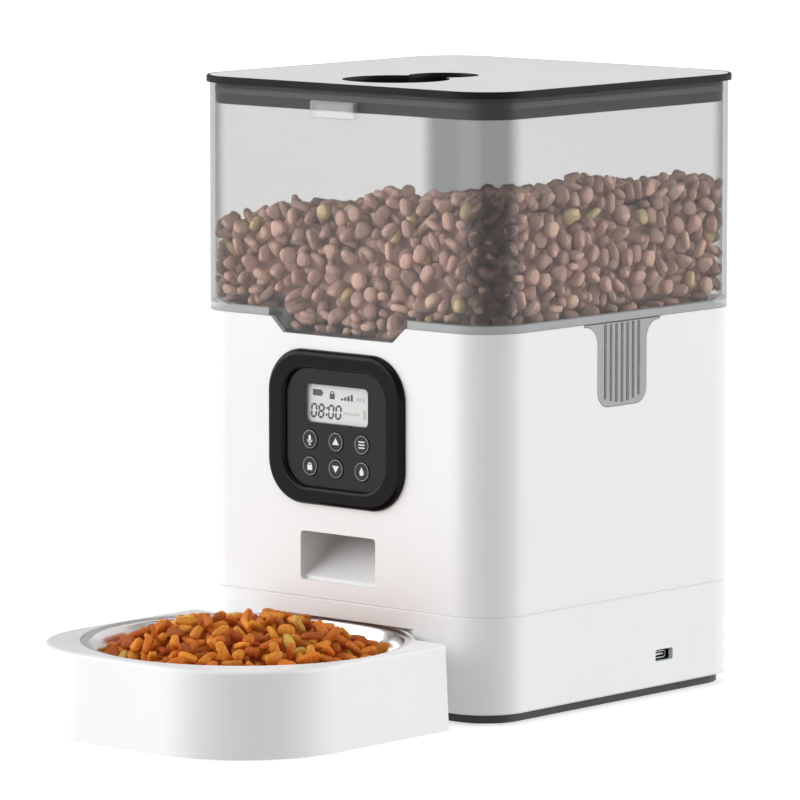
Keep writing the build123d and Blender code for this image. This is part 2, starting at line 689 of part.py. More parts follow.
with BuildPart() as speaker:
    with BuildSketch(front(TOWER_DEPTH - WALL)):
        with Locations((0, SPEAKER_Z)):
            Circle(SPEAKER_R)
    extrude(amount=4)
    with BuildSketch(front(TOWER_DEPTH - WALL - 4)):
        with Locations((0, SPEAKER_Z)):
            Circle(SPEAKER_R / 2)
    extrude(amount=8)
    fillet(speaker.edges().filter_by(GeomType.CIRCLE).sort_by(Axis.Y)[0], radius=1)

# ======== hopper ========



def trough_profile(floor_z, inset, skin):
    """Side profile of the trough that runs from the front wall down to the throat."""
    wall_y = -HALF_D + inset
    throat_y = ROTOR_Y - THROAT_HALF - skin
    Polyline(
        (wall_y, floor_z), (throat_y, THROAT_Z), (throat_y + 3, THROAT_Z),
        (throat_y + 3, THROAT_Z + 6), (wall_y, FLOOR_Z + 2 - 2 * skin), close=True)


with BuildPart() as hopper:
    with BuildSketch(level(Z_HOPPER)):
        outline(0)
    extrude(amount=Z_RIM - Z_HOPPER)
    fillet(hopper.faces().sort_by(Axis.Z)[0].edges(), radius=0.6)
    with BuildSketch(level(THROAT_Z)):
        with Locations((0, ROTOR_Y)):
            RectangleRounded(2 * THROAT_HALF + 5, 2 * THROAT_HALF + 5, THROAT_CORNER + 2.5)
    with BuildSketch(level(Z_HOPPER + 0.8)):
        outline(SKIRT_IN)
    loft(ruled=True)
    with BuildSketch(side(HALF_W)):
        with BuildLine():
            trough_profile(DIP_Z - 1, SKIRT_IN, TROUGH_SKIN)
        make_face()
    extrude(amount=TROUGH_HALF + TROUGH_SKIN, both=True)
    # front edge dips into the housing
    with BuildSketch(front(SKIRT_IN + 0.5)):
        with BuildLine():
            Polyline(
                (-DIP_TOP_HALF, Z_HOPPER + 1), (-DIP_TOP_HALF, Z_HOPPER), (-DIP_LOW_HALF, DIP_Z),
                (DIP_LOW_HALF, DIP_Z), (DIP_TOP_HALF, Z_HOPPER), (DIP_TOP_HALF, Z_HOPPER + 1),
                close=True)
        make_face()
    extrude(amount=SKIRT_IN + 0.5)
    # inside: straight walls, then a funnel down to the throat, lower behind the dip
    with BuildSketch(side(HALF_W)):
        with BuildLine():
            trough_profile(TROUGH_Z, HOPPER_WALL, 0)
        make_face()
    extrude(amount=TROUGH_HALF, both=True, mode=Mode.SUBTRACT)
    with BuildSketch(level(FLOOR_Z)):
        outline(HOPPER_WALL)
    extrude(amount=Z_RIM - FLOOR_Z, mode=Mode.SUBTRACT)
    with BuildSketch(level(THROAT_Z)):
        with Locations((0, ROTOR_Y)):
            RectangleRounded(2 * THROAT_HALF, 2 * THROAT_HALF, THROAT_CORNER)
    with BuildSketch(level(FLOOR_Z)):
        outline(HOPPER_WALL)
    loft(ruled=True, mode=Mode.SUBTRACT)
    # catch that takes the lid's bolt
    with BuildSketch(front(0.5)):
        with Locations((0, (CATCH_LOW + CATCH_HIGH) / 2)):
            RectangleRounded(2 * CATCH_HALF, CATCH_HIGH - CATCH_LOW, 1.5)
    extrude(amount=0.5 + CATCH_PROUD)
    fillet(hopper.faces().filter_by(Axis.Y).sort_by(Axis.Y)[0].edges(), radius=1.0)
    with BuildSketch(front(HOPPER_WALL + 0.5)):
        with Locations((0, (BOLT_LOW + BOLT_HIGH) / 2)):
            Rectangle(2 * BOLT_HALF + 1.2, BOLT_HIGH - BOLT_LOW + 1.2)
    extrude(amount=HOPPER_WALL + 0.5 + CATCH_PROUD - 1.2, mode=Mode.SUBTRACT)

# Plate over the front of the throat: food reaches only the pan's rear cells.
with BuildPart() as feed_cover:
    with BuildSketch(level(THROAT_Z)):
        with Locations((0, ROTOR_Y)):
            RectangleRounded(2 * THROAT_HALF, 2 * THROAT_HALF, THROAT_CORNER)
        with Locations((0, ROTOR_Y + THROAT_HALF)):
            Rectangle(3 * THROAT_HALF, 2 * THROAT_HALF, mode=Mode.SUBTRACT)
    extrude(amount=2.4)

tabs = {}
for tab_name, hand in (("release_tab_right", 1), ("release_tab_left", -1)):
    tab_plane = Plane(origin=(hand * HALF_W, TOWER_Y, 0), x_dir=(0, 1, 0), z_dir=(1, 0, 0))
    with BuildPart() as tab:
        with BuildSketch(tab_plane):
            with BuildLine():
                tab_shape(0, TAB_TOP)
            make_face()
        extrude(amount=-hand * TAB_T)
    tabs[tab_name] = tab

# ======== lid ========

FIELD_Z = Z_TOP - PLATE_T


def cups(grow, mode=Mode.ADD):
    """The two round finger cups, which run into each other."""
    with Locations((0, CUP_FRONT_Y)):
        Circle(CUP_FRONT_R + grow, mode=mode)
    with Locations((0, CUP_REAR_Y)):
        Circle(CUP_REAR_R + grow, mode=mode)


with BuildPart() as lid_frame:
    with BuildSketch(level(Z_RIM)):
        outline(-LID_OVERHANG)
    extrude(amount=Z_TOP - Z_RIM)
    fillet(lid_frame.faces().sort_by(Axis.Z)[-1].edges(), radius=0.8)
    with BuildSketch(level(FIELD_Z)):
        outline(-0.1)
    extrude(amount=PLATE_T, mode=Mode.SUBTRACT)
    with BuildSketch(level(Z_SKIRT)):
        outline(SKIRT_IN)
        outline(SKIRT_IN + SKIRT_T, mode=Mode.SUBTRACT)
    extrude(amount=Z_RIM - Z_SKIRT)
    with BuildSketch(level(CUP_FLOOR - CUP_SKIN)):
        cups(CUP_SKIN)
    extrude(amount=Z_RIM - CUP_FLOOR + CUP_SKIN)
    with BuildSketch(level(CUP_FLOOR)):
        cups(0)
    extrude(amount=Z_TOP - CUP_FLOOR, mode=Mode.SUBTRACT)
    # slots for the lock slider, through the skirt and the cup's front wall
    with BuildSketch(front(SKIRT_IN - 1)):
        with Locations((0, (BOLT_LOW + BOLT_HIGH) / 2)):
            Rectangle(2 * BOLT_HALF + 0.4, BOLT_HIGH - BOLT_LOW + 0.4)
    extrude(amount=-(HALF_D + CUP_FRONT_Y), mode=Mode.SUBTRACT)

with BuildPart() as lid_plate:
    with BuildSketch(level(FIELD_Z)):
        outline(0)
        cups(0, mode=Mode.SUBTRACT)
    extrude(amount=PLATE_T)
    rims = lid_plate.faces().sort_by(Axis.Z)[-1]
    fillet(rims.outer_wire().edges(), radius=0.5)

with BuildPart() as lid_seal:
    with BuildSketch(level(286.5)):
        outline(SKIRT_IN - 0.5)
        outline(SKIRT_IN, mode=Mode.SUBTRACT)
    extrude(amount=2.4)

with BuildPart() as desiccant_box:
    with BuildSketch(level(Z_SKIRT)):
        with Locations((0, 45)):
            RectangleRounded(64, 44, 5)
    extrude(amount=Z_RIM - Z_SKIRT)
    with BuildSketch(level(Z_SKIRT + 1.5)):
        with Locations((0, 45)):
            RectangleRounded(61, 41, 3.5)
    extrude(amount=Z_RIM - Z_SKIRT, mode=Mode.SUBTRACT)
    with BuildSketch(level(Z_SKIRT)):
        with Locations((0, 45)):
            with GridLocations(6, 0, 8, 1):
                SlotOverall(26, 2.4, rotation=90)
    extrude(amount=1.5, mode=Mode.SUBTRACT)

NOSE_IN = SKIRT_IN          # bolt's nose is level with the skirt while unlocked
GRIP_Y = CUP_FRONT_Y - 12
with BuildPart() as lock_slider:
    bar_length = HALF_D - NOSE_IN + GRIP_Y + 6
    with BuildSketch(level(BOLT_LOW)):
        with Locations((0, -HALF_D + NOSE_IN + bar_length / 2)):
            Rectangle(2 * BOLT_HALF, bar_length)
    extrude(amount=BOLT_HIGH - BOLT_LOW)
    with BuildSketch(level(BOLT_HIGH)):
        with Locations((0, GRIP_Y)):
            with GridLocations(0, 3.4, 1, 3):
                Rectangle(2 * BOLT_HALF - 3, 1.8)
    extrude(amount=3.4)

# ======== tray and bowl ========


def tray_outline(inset):
    """Tray's outline: square at the back, large round corners at the front."""
    front_y = -TRAY_REACH + inset
    back_y = TRAY_REAR - inset
    half = TRAY_HALF - inset
    back_r, front_r = 4 - inset / 2, TRAY_CORNER_R - inset
    FilletPolyline(
        (-half, back_y), (-half, front_y), (half, front_y), (half, back_y),
        radius=[back_r, front_r, front_r, back_r], close=True)


with BuildPart() as bowl_tray:
    with BuildSketch(level(TRAY_FOOT)):
        with BuildLine():
            tray_outline(0)
        make_face()
    extrude(amount=TRAY_TOP - TRAY_FOOT, taper=TRAY_DRAFT)
    with BuildSketch(level(TRAY_FOOT)):
        with Locations((0, BOWL_Y)):
            Circle(NECK_R)
    extrude(amount=TRAY_TOP - TRAY_FOOT)
    top_rim = bowl_tray.faces().sort_by(Axis.Z)[-1]
    fillet(top_rim.outer_wire().edges(), radius=2.0)
    # well for the bowl, with a ledge for its rim
    with BuildSketch(level(RIM_Z)):
        with Locations((0, BOWL_Y)):
            Circle(BOWL_R + 0.5)
    extrude(amount=TRAY_TOP - RIM_Z, mode=Mode.SUBTRACT)
    with BuildSketch(level(WELL_FLOOR)):
        with Locations((0, BOWL_Y)):
            Circle(WELL_R)
    extrude(amount=TRAY_TOP - WELL_FLOOR, mode=Mode.SUBTRACT)
    # hollow under the corners
    with BuildSketch(level(TRAY_FOOT)):
        with BuildLine():
            tray_outline(TRAY_SKIN + 1.7)
        make_face()
        with Locations((0, BOWL_Y)):
            Circle(WELL_R + TRAY_SKIN + 1, mode=Mode.SUBTRACT)
    extrude(amount=TRAY_TOP - TRAY_FOOT - TRAY_SKIN, mode=Mode.SUBTRACT)

TRAY_PADS = [(sx * 50.0, BOWL_Y + sy * 42.0) for sx in (-1, 1) for sy in (-1, 1)]
with BuildPart() as tray_pads:
    with BuildSketch(level(0)):
        with Locations(*TRAY_PADS):
            Circle(6)
    extrude(amount=TRAY_FOOT)

STEEL = 0.8
BOWL_WALL_R, BOWL_FLOOR_R, BOWL_FLOOR = 73.6, 64.0, 4.2
with BuildPart() as bowl:
    with BuildSketch(Plane(origin=(0, TOWER_Y + BOWL_Y, 0), x_dir=(1, 0, 0), z_dir=(0, -1, 0))):
        with BuildLine():
            FilletPolyline(
                (0, BOWL_FLOOR), (BOWL_FLOOR_R, BOWL_FLOOR), (BOWL_WALL_R, RIM_Z), (BOWL_R, RIM_Z),
                (BOWL_R, RIM_Z + STEEL), (BOWL_WALL_R - 0.7, RIM_Z + STEEL),
                (BOWL_FLOOR_R - 0.6, BOWL_FLOOR + STEEL), (0, BOWL_FLOOR + STEEL),
                radius=[0, 12, 1, 0, 0, 1.8, 11.3, 0], close=True)
        make_face()
    revolve(axis=Axis((0, TOWER_Y + BOWL_Y, 0), (0, 0, 1)))

# ======== write one file per piece ========

pieces = {
    "upper_housing": upper_housing, "base_housing": base_housing, "bottom_cover": bottom_cover,
    "rubber_feet": rubber_feet, "housing_screws": housing_screws, "battery_door": battery_door,
    "battery_contacts": battery_contacts, "rotor_pan": rotor_pan, "pan_screws": pan_screws,
    "chute": chute, "rotor": rotor, "output_gear": output_gear, "idler_gear": idler_gear,
    "motor_pinion": motor_pinion, "idler_axle": idler_axle, "drive_motor": drive_motor,
    "gearbox_case": gearbox_case, "gearbox_cover": gearbox_cover, "gearbox_screws": gearbox_screws,
    "panel_bezel": panel_bezel, "control_panel": control_panel, "lcd_window": lcd_window,
    "lcd_module": lcd_module, "control_board": control_board, "panel_screws": panel_screws,
    "key_switches": key_switches, "power_board": power_board, "usb_socket": usb_socket,
    "speaker": speaker, "hopper": hopper, "feed_cover": feed_cover, "lid_frame": lid_frame,
    "lid_plate": lid_plate, "lid_seal": lid_seal, "desiccant_box": desiccant_box,
    "lock_slider": lock_slider, "bowl_tray": bowl_tray, "tray_pads": tray_pads, "bowl": bowl,
    **keys, **tabs,
}
for name, piece in pieces.items():
    piece.part.label = name
    export_step(piece.part, f"parts/{name}.step")
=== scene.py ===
import json
import math

import bmesh
import bpy
import numpy as np
from mathutils import Matrix, Vector
from mathutils.bvhtree import BVHTree


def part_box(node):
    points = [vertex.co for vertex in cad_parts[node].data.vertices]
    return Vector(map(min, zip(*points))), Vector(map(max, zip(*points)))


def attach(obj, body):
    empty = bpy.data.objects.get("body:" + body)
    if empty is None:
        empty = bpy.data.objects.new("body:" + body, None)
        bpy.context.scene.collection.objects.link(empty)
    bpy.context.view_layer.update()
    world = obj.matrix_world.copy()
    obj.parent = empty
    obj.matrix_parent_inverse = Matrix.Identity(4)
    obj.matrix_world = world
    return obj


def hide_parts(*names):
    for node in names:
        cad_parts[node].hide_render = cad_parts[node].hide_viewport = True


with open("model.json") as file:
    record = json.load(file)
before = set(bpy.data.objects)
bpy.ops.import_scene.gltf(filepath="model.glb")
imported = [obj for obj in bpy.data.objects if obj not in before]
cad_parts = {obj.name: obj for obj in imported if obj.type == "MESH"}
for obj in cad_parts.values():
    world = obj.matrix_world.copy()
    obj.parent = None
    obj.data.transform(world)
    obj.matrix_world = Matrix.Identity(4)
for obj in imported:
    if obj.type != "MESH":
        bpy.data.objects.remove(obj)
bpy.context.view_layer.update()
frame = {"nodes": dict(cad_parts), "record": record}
NODES = frame["nodes"]
SCENE = bpy.context.scene

MM = 0.001

# ---------------------------------------------------------------- places, from the frame

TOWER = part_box("upper_housing")
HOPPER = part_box("hopper")
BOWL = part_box("bowl")
TOWER_MID = (TOWER[0] + TOWER[1]) / 2
BOWL_MID = (BOWL[0] + BOWL[1]) / 2
HALF_W = (TOWER[1].x - TOWER[0].x) / 2
HALF_D = (TOWER[1].y - TOWER[0].y) / 2


# ---------------------------------------------------------------- materials

def link(tree, output, socket):
    tree.links.new(output, socket)


def noise(tree, coords, size, detail=2.0, roughness=0.5):
    """Noise whose features are about size metres across."""
    node = tree.nodes.new("ShaderNodeTexNoise")
    node.inputs["Scale"].default_value = 1 / size
    node.inputs["Detail"].default_value = detail
    node.inputs["Roughness"].default_value = roughness
    link(tree, coords, node.inputs["Vector"])
    return node.outputs["Fac"]


def remap(tree, value, low, high, from_low=0.3, from_high=0.7):
    """Brings a value from the range from_low..from_high into low..high, and no further."""
    node = tree.nodes.new("ShaderNodeMapRange")
    node.inputs["From Min"].default_value = from_low
    node.inputs["From Max"].default_value = from_high
    node.inputs["To Min"].default_value = low
    node.inputs["To Max"].default_value = high
    link(tree, value, node.inputs["Value"])
    return node.outputs["Result"]


def calculate(tree, operation, a, b=None):
    """One step of arithmetic; b is a socket, a number, or left out."""
    node = tree.nodes.new("ShaderNodeMath")
    node.operation = operation
    link(tree, a, node.inputs[0])
    if isinstance(b, bpy.types.NodeSocket):
        link(tree, b, node.inputs[1])
    elif b is not None:
        node.inputs[1].default_value = b
    return node.outputs["Value"]


def split(tree, vector):
    """The X, Y and Z of a vector, as sockets."""
    node = tree.nodes.new("ShaderNodeSeparateXYZ")
    link(tree, vector, node.inputs[0])
    return node.outputs


def mix_colors(tree, factor, a, b, blend="MIX"):
    node = tree.nodes.new("ShaderNodeMix")
    node.data_type = "RGBA"
    node.blend_type = blend
    for socket, value in ((node.inputs[0], factor), (node.inputs[6], a), (node.inputs[7], b)):
        if isinstance(value, bpy.types.NodeSocket):
            link(tree, value, socket)
        elif isinstance(value, (int, float)):
            socket.default_value = value
        else:
            socket.default_value = (*value, 1)
    return node.outputs[2]


def bump(tree, height, distance, normal=None):
    node = tree.nodes.new("ShaderNodeBump")
    node.inputs["Strength"].default_value = 1.0
    node.inputs["Distance"].default_value = distance
    link(tree, height, node.inputs["Height"])
    if normal is not None:
        link(tree, normal, node.inputs["Normal"])
    return node.outputs["Normal"]


PLASTIC_IOR = 1.46
CLEAR_IOR = 1.5


def new_shader(name):
    """A material with an empty Principled shader and the object's own coordinates."""
    material = bpy.data.materials.new(name)
    material.use_nodes = True
    tree = material.node_tree
    shader = tree.nodes["Principled BSDF"]
    coords = tree.nodes.new("ShaderNodeTexCoord").outputs["Object"]
    return material, tree, shader, coords


def moulded(name, color, rough, drift=0.03, grain=0.7 * MM, relief=0.006 * MM, metallic=0.0,
            alpha=1.0, specular=0.5, brushed=None):
    """A moulded, painted or metal surface: tone drift, smudged gloss and a fine grain."""
    material, tree, shader, coords = new_shader(name)
    darker = [c * (1 - drift) for c in color]
    lighter = [min(c * (1 + drift), 1) for c in color]
    broad = noise(tree, coords, 60 * MM, detail=3)
    tone = mix_colors(tree, remap(tree, broad, 0, 1), darker, lighter)
    link(tree, tone, shader.inputs["Base Color"])
    smudge = noise(tree, coords, 22 * MM, detail=4, roughness=0.6)
    link(tree, remap(tree, smudge, rough[0], rough[1]), shader.inputs["Roughness"])
    if brushed is not None:
        stretch = tree.nodes.new("ShaderNodeMapping")
        stretch.inputs["Scale"].default_value = brushed
        link(tree, coords, stretch.inputs["Vector"])
        coords = stretch.outputs["Vector"]
    fine = noise(tree, coords, grain, detail=2)
    link(tree, bump(tree, fine, relief), shader.inputs["Normal"])
    shader.inputs["Metallic"].default_value = metallic
    shader.inputs["Alpha"].default_value = alpha
    shader.inputs["Specular IOR Level"].default_value = specular
    shader.inputs["IOR"].default_value = PLASTIC_IOR
    return material


def clear_plastic(name, color, rough, alpha, corner_shade_alpha, corner_shade_color, zones=()):
    """Smoke-grey clear plastic, with painted shade where the wall turns round an upright corner:
    darker and denser there, set by the surface's heading, not by its thickness.
    A zone is (axis, where it starts, where it is full, its alpha, its colour), in metres;
    a zone along Z leaves out the dip in the front edge."""
    material, tree, shader, coords = new_shader(name)
    normal = split(tree, tree.nodes.new("ShaderNodeTexCoord").outputs["Normal"])
    # painted shade: the closer a wall faces halfway between X and Y, round an upright corner, the
    # darker its colour and the higher its alpha
    turned = [remap(tree, calculate(tree, "ABSOLUTE", normal[axis]), 0, 1, start, full)
              for axis, start, full in (("X", 0.12, 0.6), ("Y", 0.06, 0.4))]
    corner = calculate(tree, "MULTIPLY", *turned)
    drift = remap(tree, noise(tree, coords, 50 * MM, detail=2), 0, 1)
    darker = [c * 0.96 for c in color]
    tone = mix_colors(tree, drift, darker, color)
    tint = mix_colors(tree, corner, tone, corner_shade_color)
    density = remap(tree, corner, alpha, corner_shade_alpha, 0, 1)
    place = split(tree, coords)
    for axis, start, full, zone_alpha, zone_color in zones:
        inside = remap(tree, place[axis], 0, 1, start, full)
        if axis == "Z":
            across = calculate(tree, "ABSOLUTE", place["X"])
            beside = remap(tree, across, 0, 1, DIP_HALF - MM, DIP_HALF)
            behind = remap(tree, place["Y"], 0, 1, DIP_BACK, DIP_BACK + MM)
            outside = calculate(tree, "MAXIMUM", beside, behind)
            inside = calculate(tree, "MULTIPLY", inside, outside)
        tint = mix_colors(tree, inside, tint, zone_color)
        blend = tree.nodes.new("ShaderNodeMix")
        link(tree, inside, blend.inputs[0])
        link(tree, density, blend.inputs[2])
        blend.inputs[3].default_value = zone_alpha
        density = blend.outputs[0]
    link(tree, tint, shader.inputs["Base Color"])
    link(tree, density, shader.inputs["Alpha"])
    smudge = noise(tree, coords, 25 * MM, detail=4, roughness=0.6)
    link(tree, remap(tree, smudge, rough[0], rough[1]), shader.inputs["Roughness"])
    flow = noise(tree, coords, 12 * MM, detail=1)
    link(tree, bump(tree, flow, 0.02 * MM), shader.inputs["Normal"])
    shader.inputs["IOR"].default_value = CLEAR_IOR
    return material


def kibble_material(name, dark, light):
    """Baked dry food: each piece has its own tone, with pores and crumbs."""
    material, tree, shader, coords = new_shader(name)
    own = tree.nodes.new("ShaderNodeAttribute")
    own.attribute_name = "tone"
    crumbs = noise(tree, coords, 1.6 * MM, detail=5, roughness=0.7)
    shade = mix_colors(tree, remap(tree, crumbs, 0, 1), dark, light)
    link(tree, mix_colors(tree, 1.0, own.outputs["Color"], shade, "MULTIPLY"),
         shader.inputs["Base Color"])
    link(tree, remap(tree, crumbs, 0.5, 0.75), shader.inputs["Roughness"])
    pores = tree.nodes.new("ShaderNodeTexVoronoi")
    pores.inputs["Scale"].default_value = 1 / (1.1 * MM)
    link(tree, coords, pores.inputs["Vector"])
    rough = bump(tree, crumbs, 0.35 * MM)
    link(tree, bump(tree, pores.outputs["Distance"], 0.12 * MM, normal=rough),
         shader.inputs["Normal"])
    shader.inputs["Specular IOR Level"].default_value = 0.35
    return material


# the hopper's thick foot is frosted; its catch, proud of the front, is painted near-white as a
# painted highlight
FOOT_ZONE = ("Z", TOWER[1].z + 4.6 * MM, TOWER[1].z + 3.4 * MM, 0.62, (0.66, 0.68, 0.68))
CATCH_GLINT_ZONE = ("Y", TOWER[0].y - 0.6 * MM, TOWER[0].y - 1.2 * MM, 0.3, (0.95, 0.95, 0.95))
# half the width of the dip in the hopper's front edge, and how far back it goes
DIP_HALF = 44 * MM
DIP_BACK = TOWER[0].y + 3 * MM

LID_BLACK = (0.006, 0.006, 0.0065)
WHITE = (0.86, 0.865, 0.87)

MATERIALS = {
    "white_plastic": moulded("white_plastic", WHITE, (0.3, 0.4), drift=0.01),
    "white_inner": moulded("white_inner", (0.8, 0.8, 0.8), (0.4, 0.5), drift=0.015),
    "black_plastic": moulded("black_plastic", (0.02, 0.02, 0.021), (0.4, 0.52), drift=0.12),
    "lid_black": moulded("lid_black", LID_BLACK, (0.42, 0.52), drift=0.1, relief=0.004 * MM,
                         specular=0.15),
    "black_gloss": moulded("black_gloss", (0.004, 0.004, 0.0045), (0.1, 0.16), drift=0.1,
                           relief=0.001 * MM, specular=0.14),
    "panel_dark": moulded("panel_dark", (0.012, 0.012, 0.0115), (0.25, 0.34), drift=0.06,
                          grain=0.4 * MM, relief=0.003 * MM, specular=0.2),
    "key_black": moulded("key_black", (0.01, 0.01, 0.01), (0.28, 0.36), drift=0.08,
                         grain=0.3 * MM, relief=0.003 * MM, specular=0.3),
    "switch_black": moulded("switch_black", (0.03, 0.03, 0.03), (0.5, 0.6), drift=0.1),
    "clear_window": moulded("clear_window", (0.8, 0.83, 0.83), (0.03, 0.06), drift=0.02,
                            relief=0.0004 * MM, alpha=0.05),
    "display": moulded("display", (0.72, 0.74, 0.72), (0.35, 0.45), drift=0.02,
                       grain=0.35 * MM, relief=0.002 * MM),
    # the hopper's upright corners carry painted shade: near-black and denser there
    "clear_hopper": clear_plastic("clear_hopper", (0.31, 0.325, 0.325), (0.06, 0.1), 0.165,
                                  corner_shade_alpha=0.48, corner_shade_color=(0.06, 0.06, 0.062),
                                  zones=(FOOT_ZONE, CATCH_GLINT_ZONE)),
    "clear_tab": clear_plastic("clear_tab", (0.56, 0.575, 0.575), (0.1, 0.16), 0.75,
                               corner_shade_alpha=0.75, corner_shade_color=(0.56, 0.575, 0.575)),
    "grey_plastic": moulded("grey_plastic", (0.42, 0.43, 0.44), (0.4, 0.5), drift=0.04),
    "gear_plastic": moulded("gear_plastic", (0.82, 0.79, 0.68), (0.35, 0.45), drift=0.03),
    "brass": moulded("brass", (0.78, 0.57, 0.25), (0.2, 0.34), drift=0.06, metallic=1.0,
                     relief=0.01 * MM, brushed=(1, 1, 0.05)),
    "screw_steel": moulded("screw_steel", (0.62, 0.62, 0.6), (0.25, 0.4), drift=0.08,
                           metallic=1.0, relief=0.01 * MM),
    "motor_steel": moulded("motor_steel", (0.58, 0.58, 0.6), (0.28, 0.42), drift=0.05,
                           metallic=1.0, relief=0.01 * MM, brushed=(1, 1, 0.04)),
    "steel_bowl": moulded("steel_bowl", (0.83, 0.83, 0.84), (0.12, 0.22), drift=0.03,
                          metallic=1.0, grain=1.2 * MM, relief=0.006 * MM),
    "circuit_board": moulded("circuit_board", (0.02, 0.16, 0.06), (0.3, 0.42), drift=0.15,
                             grain=1.5 * MM, relief=0.02 * MM),
    "rubber": moulded("rubber", (0.018, 0.018, 0.018), (0.65, 0.8), drift=0.15,
                      grain=0.5 * MM, relief=0.03 * MM),
    "silicone": moulded("silicone", (0.03, 0.03, 0.031), (0.4, 0.5), drift=0.08),
}
HOPPER_FOOD = kibble_material("hopper_food", (0.84, 0.82, 0.8), (1.0, 1.0, 1.0))
BOWL_FOOD = kibble_material("bowl_food", (0.62, 0.52, 0.45), (1.0, 1.0, 1.0))
PRINT_WHITE = moulded("print_white", (0.78, 0.78, 0.78), (0.4, 0.5), drift=0.03,
                      grain=0.2 * MM, relief=0.002 * MM)
PRINT_GREY = moulded("print_grey", (0.3, 0.3, 0.3), (0.4, 0.5), drift=0.05,
                     grain=0.2 * MM, relief=0.002 * MM)
LCD_INK = moulded("lcd_ink", (0.03, 0.033, 0.03), (0.4, 0.5), drift=0.08,
                  grain=0.2 * MM, relief=0.001 * MM)
LCD_FAINT = moulded("lcd_faint", (0.5, 0.52, 0.5), (0.4, 0.5), drift=0.05,
                    grain=0.2 * MM, relief=0.001 * MM)
RIB_GREY = moulded("rib_grey", (0.15, 0.157, 0.157), (0.2, 0.3), drift=0.05)


def plate_material():
    """White plate whose side faces, the cut edge round the finger holes among them, are painted
    black as painted shade.
    """
    material = moulded("lid_plate_white", WHITE, (0.3, 0.4), drift=0.01)
    tree = material.node_tree
    shader = tree.nodes["Principled BSDF"]
    normal = split(tree, tree.nodes.new("ShaderNodeTexCoord").outputs["Normal"])
    # painted shade: faces that turn away from straight up are painted black
    face = remap(tree, normal["Z"], 0, 1, 0.3, 0.5)
    white = shader.inputs["Base Color"].links[0].from_socket
    link(tree, mix_colors(tree, face, LID_BLACK, white), shader.inputs["Base Color"])
    return material


def dress_cad_nodes():
    """Gives each CAD node the material of its slot, and the lid plate its own."""
    for part in frame["record"]["subparts"]:
        node = part["node"]
        material = MATERIALS[part["material_slot"]]
        mesh = NODES[node].data
        mesh.materials.clear()
        mesh.materials.append(plate_material() if node == "lid_plate" else material)


# ---------------------------------------------------------------- mesh helpers

LATHE_STEPS = 256


def add_piece(name, vertices, faces, material, body, smooth=False):
    """Makes a mesh object that takes its finish from slot and moves with body."""
    mesh = bpy.data.meshes.new(name)
    mesh.from_pydata([tuple(v) for v in vertices], [], faces)
    mesh.update()
    mesh.materials.append(material)
    if smooth:
        mesh.polygons.foreach_set("use_smooth", [True] * len(mesh.polygons))
    piece = bpy.data.objects.new(name, mesh)
    SCENE.collection.objects.link(piece)
    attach(piece, body)
    return piece


def lathe(name, profile, centre, material, body):
    """Turns a closed (radius, height) profile about a vertical axis; radius 0 closes it."""
    vertices = []
    rings = []
    for radius, height in profile:
        if radius == 0:
            rings.append([len(vertices)] * LATHE_STEPS)
            vertices.append((centre.x, centre.y, height))
            continue
        rings.append(list(range(len(vertices), len(vertices) + LATHE_STEPS)))
        for k in range(LATHE_STEPS):
            angle = 2 * math.pi * k / LATHE_STEPS
            vertices.append((centre.x + radius * math.cos(angle),
                             centre.y + radius * math.sin(angle), height))
    faces = []
    for lower, upper in zip(rings, rings[1:]):
        for k in range(LATHE_STEPS):
            n = (k + 1) % LATHE_STEPS
            face = [lower[k], lower[n], upper[n], upper[k]]
            face = [v for i, v in enumerate(face) if v not in face[:i]]
            faces.append(face)
    piece = add_piece(name, vertices, faces, material, body, smooth=True)
    piece.data.set_sharp_from_angle(angle=math.radians(50))
    return piece


def prism(name, outlines, place, thickness, material, body):
    """Raises flat outlines, given as (across, up) points, into thin closed plates.
    place(across, up, out) gives the point at that height out of the surface."""
    vertices = []
    faces = []
    for outline in outlines:
        n = len(outline)
        base = len(vertices)
        for out in (0.0, thickness):
            vertices += [place(a, u, out) for a, u in outline]
        faces.append(list(range(base + n - 1, base - 1, -1)))
        faces.append(list(range(base + n, base + 2 * n)))
        for k in range(n):
            m = (k + 1) % n
            faces.append([base + k, base + m, base + n + m, base + n + k])
    piece = add_piece(name, vertices, faces, material, body)
    b = bmesh.new()
    b.from_mesh(piece.data)
    bmesh.ops.recalc_face_normals(b, faces=b.faces)
    b.to_mesh(piece.data)
    b.free()
    return piece


def arc(cx, cu, radius, start, end, steps):
    """Points on an arc, angles in degrees, counter-clockwise from the right."""
    angles = [math.radians(start + (end - start) * k / steps) for k in range(steps + 1)]
    return [(cx + radius * math.cos(t), cu + radius * math.sin(t)) for t in angles]


def band(cx, cu, inner, outer, start, end, steps):
    """An arc-shaped band."""
    return arc(cx, cu, outer, start, end, steps) + arc(cx, cu, inner, end, start, steps)


def rectangle(a0, u0, a1, u1):
    return [(a0, u0), (a1, u0), (a1, u1), (a0, u1)]


def facing_front(centre_x, centre_z, front_y):
    """Places (across, up, out) on a surface that faces the front, in millimetres."""
    def place(across, up, out):
        return Vector((centre_x + across * MM, front_y - out * MM, centre_z + up * MM))
    return place


# ---------------------------------------------------------------- steel bowl

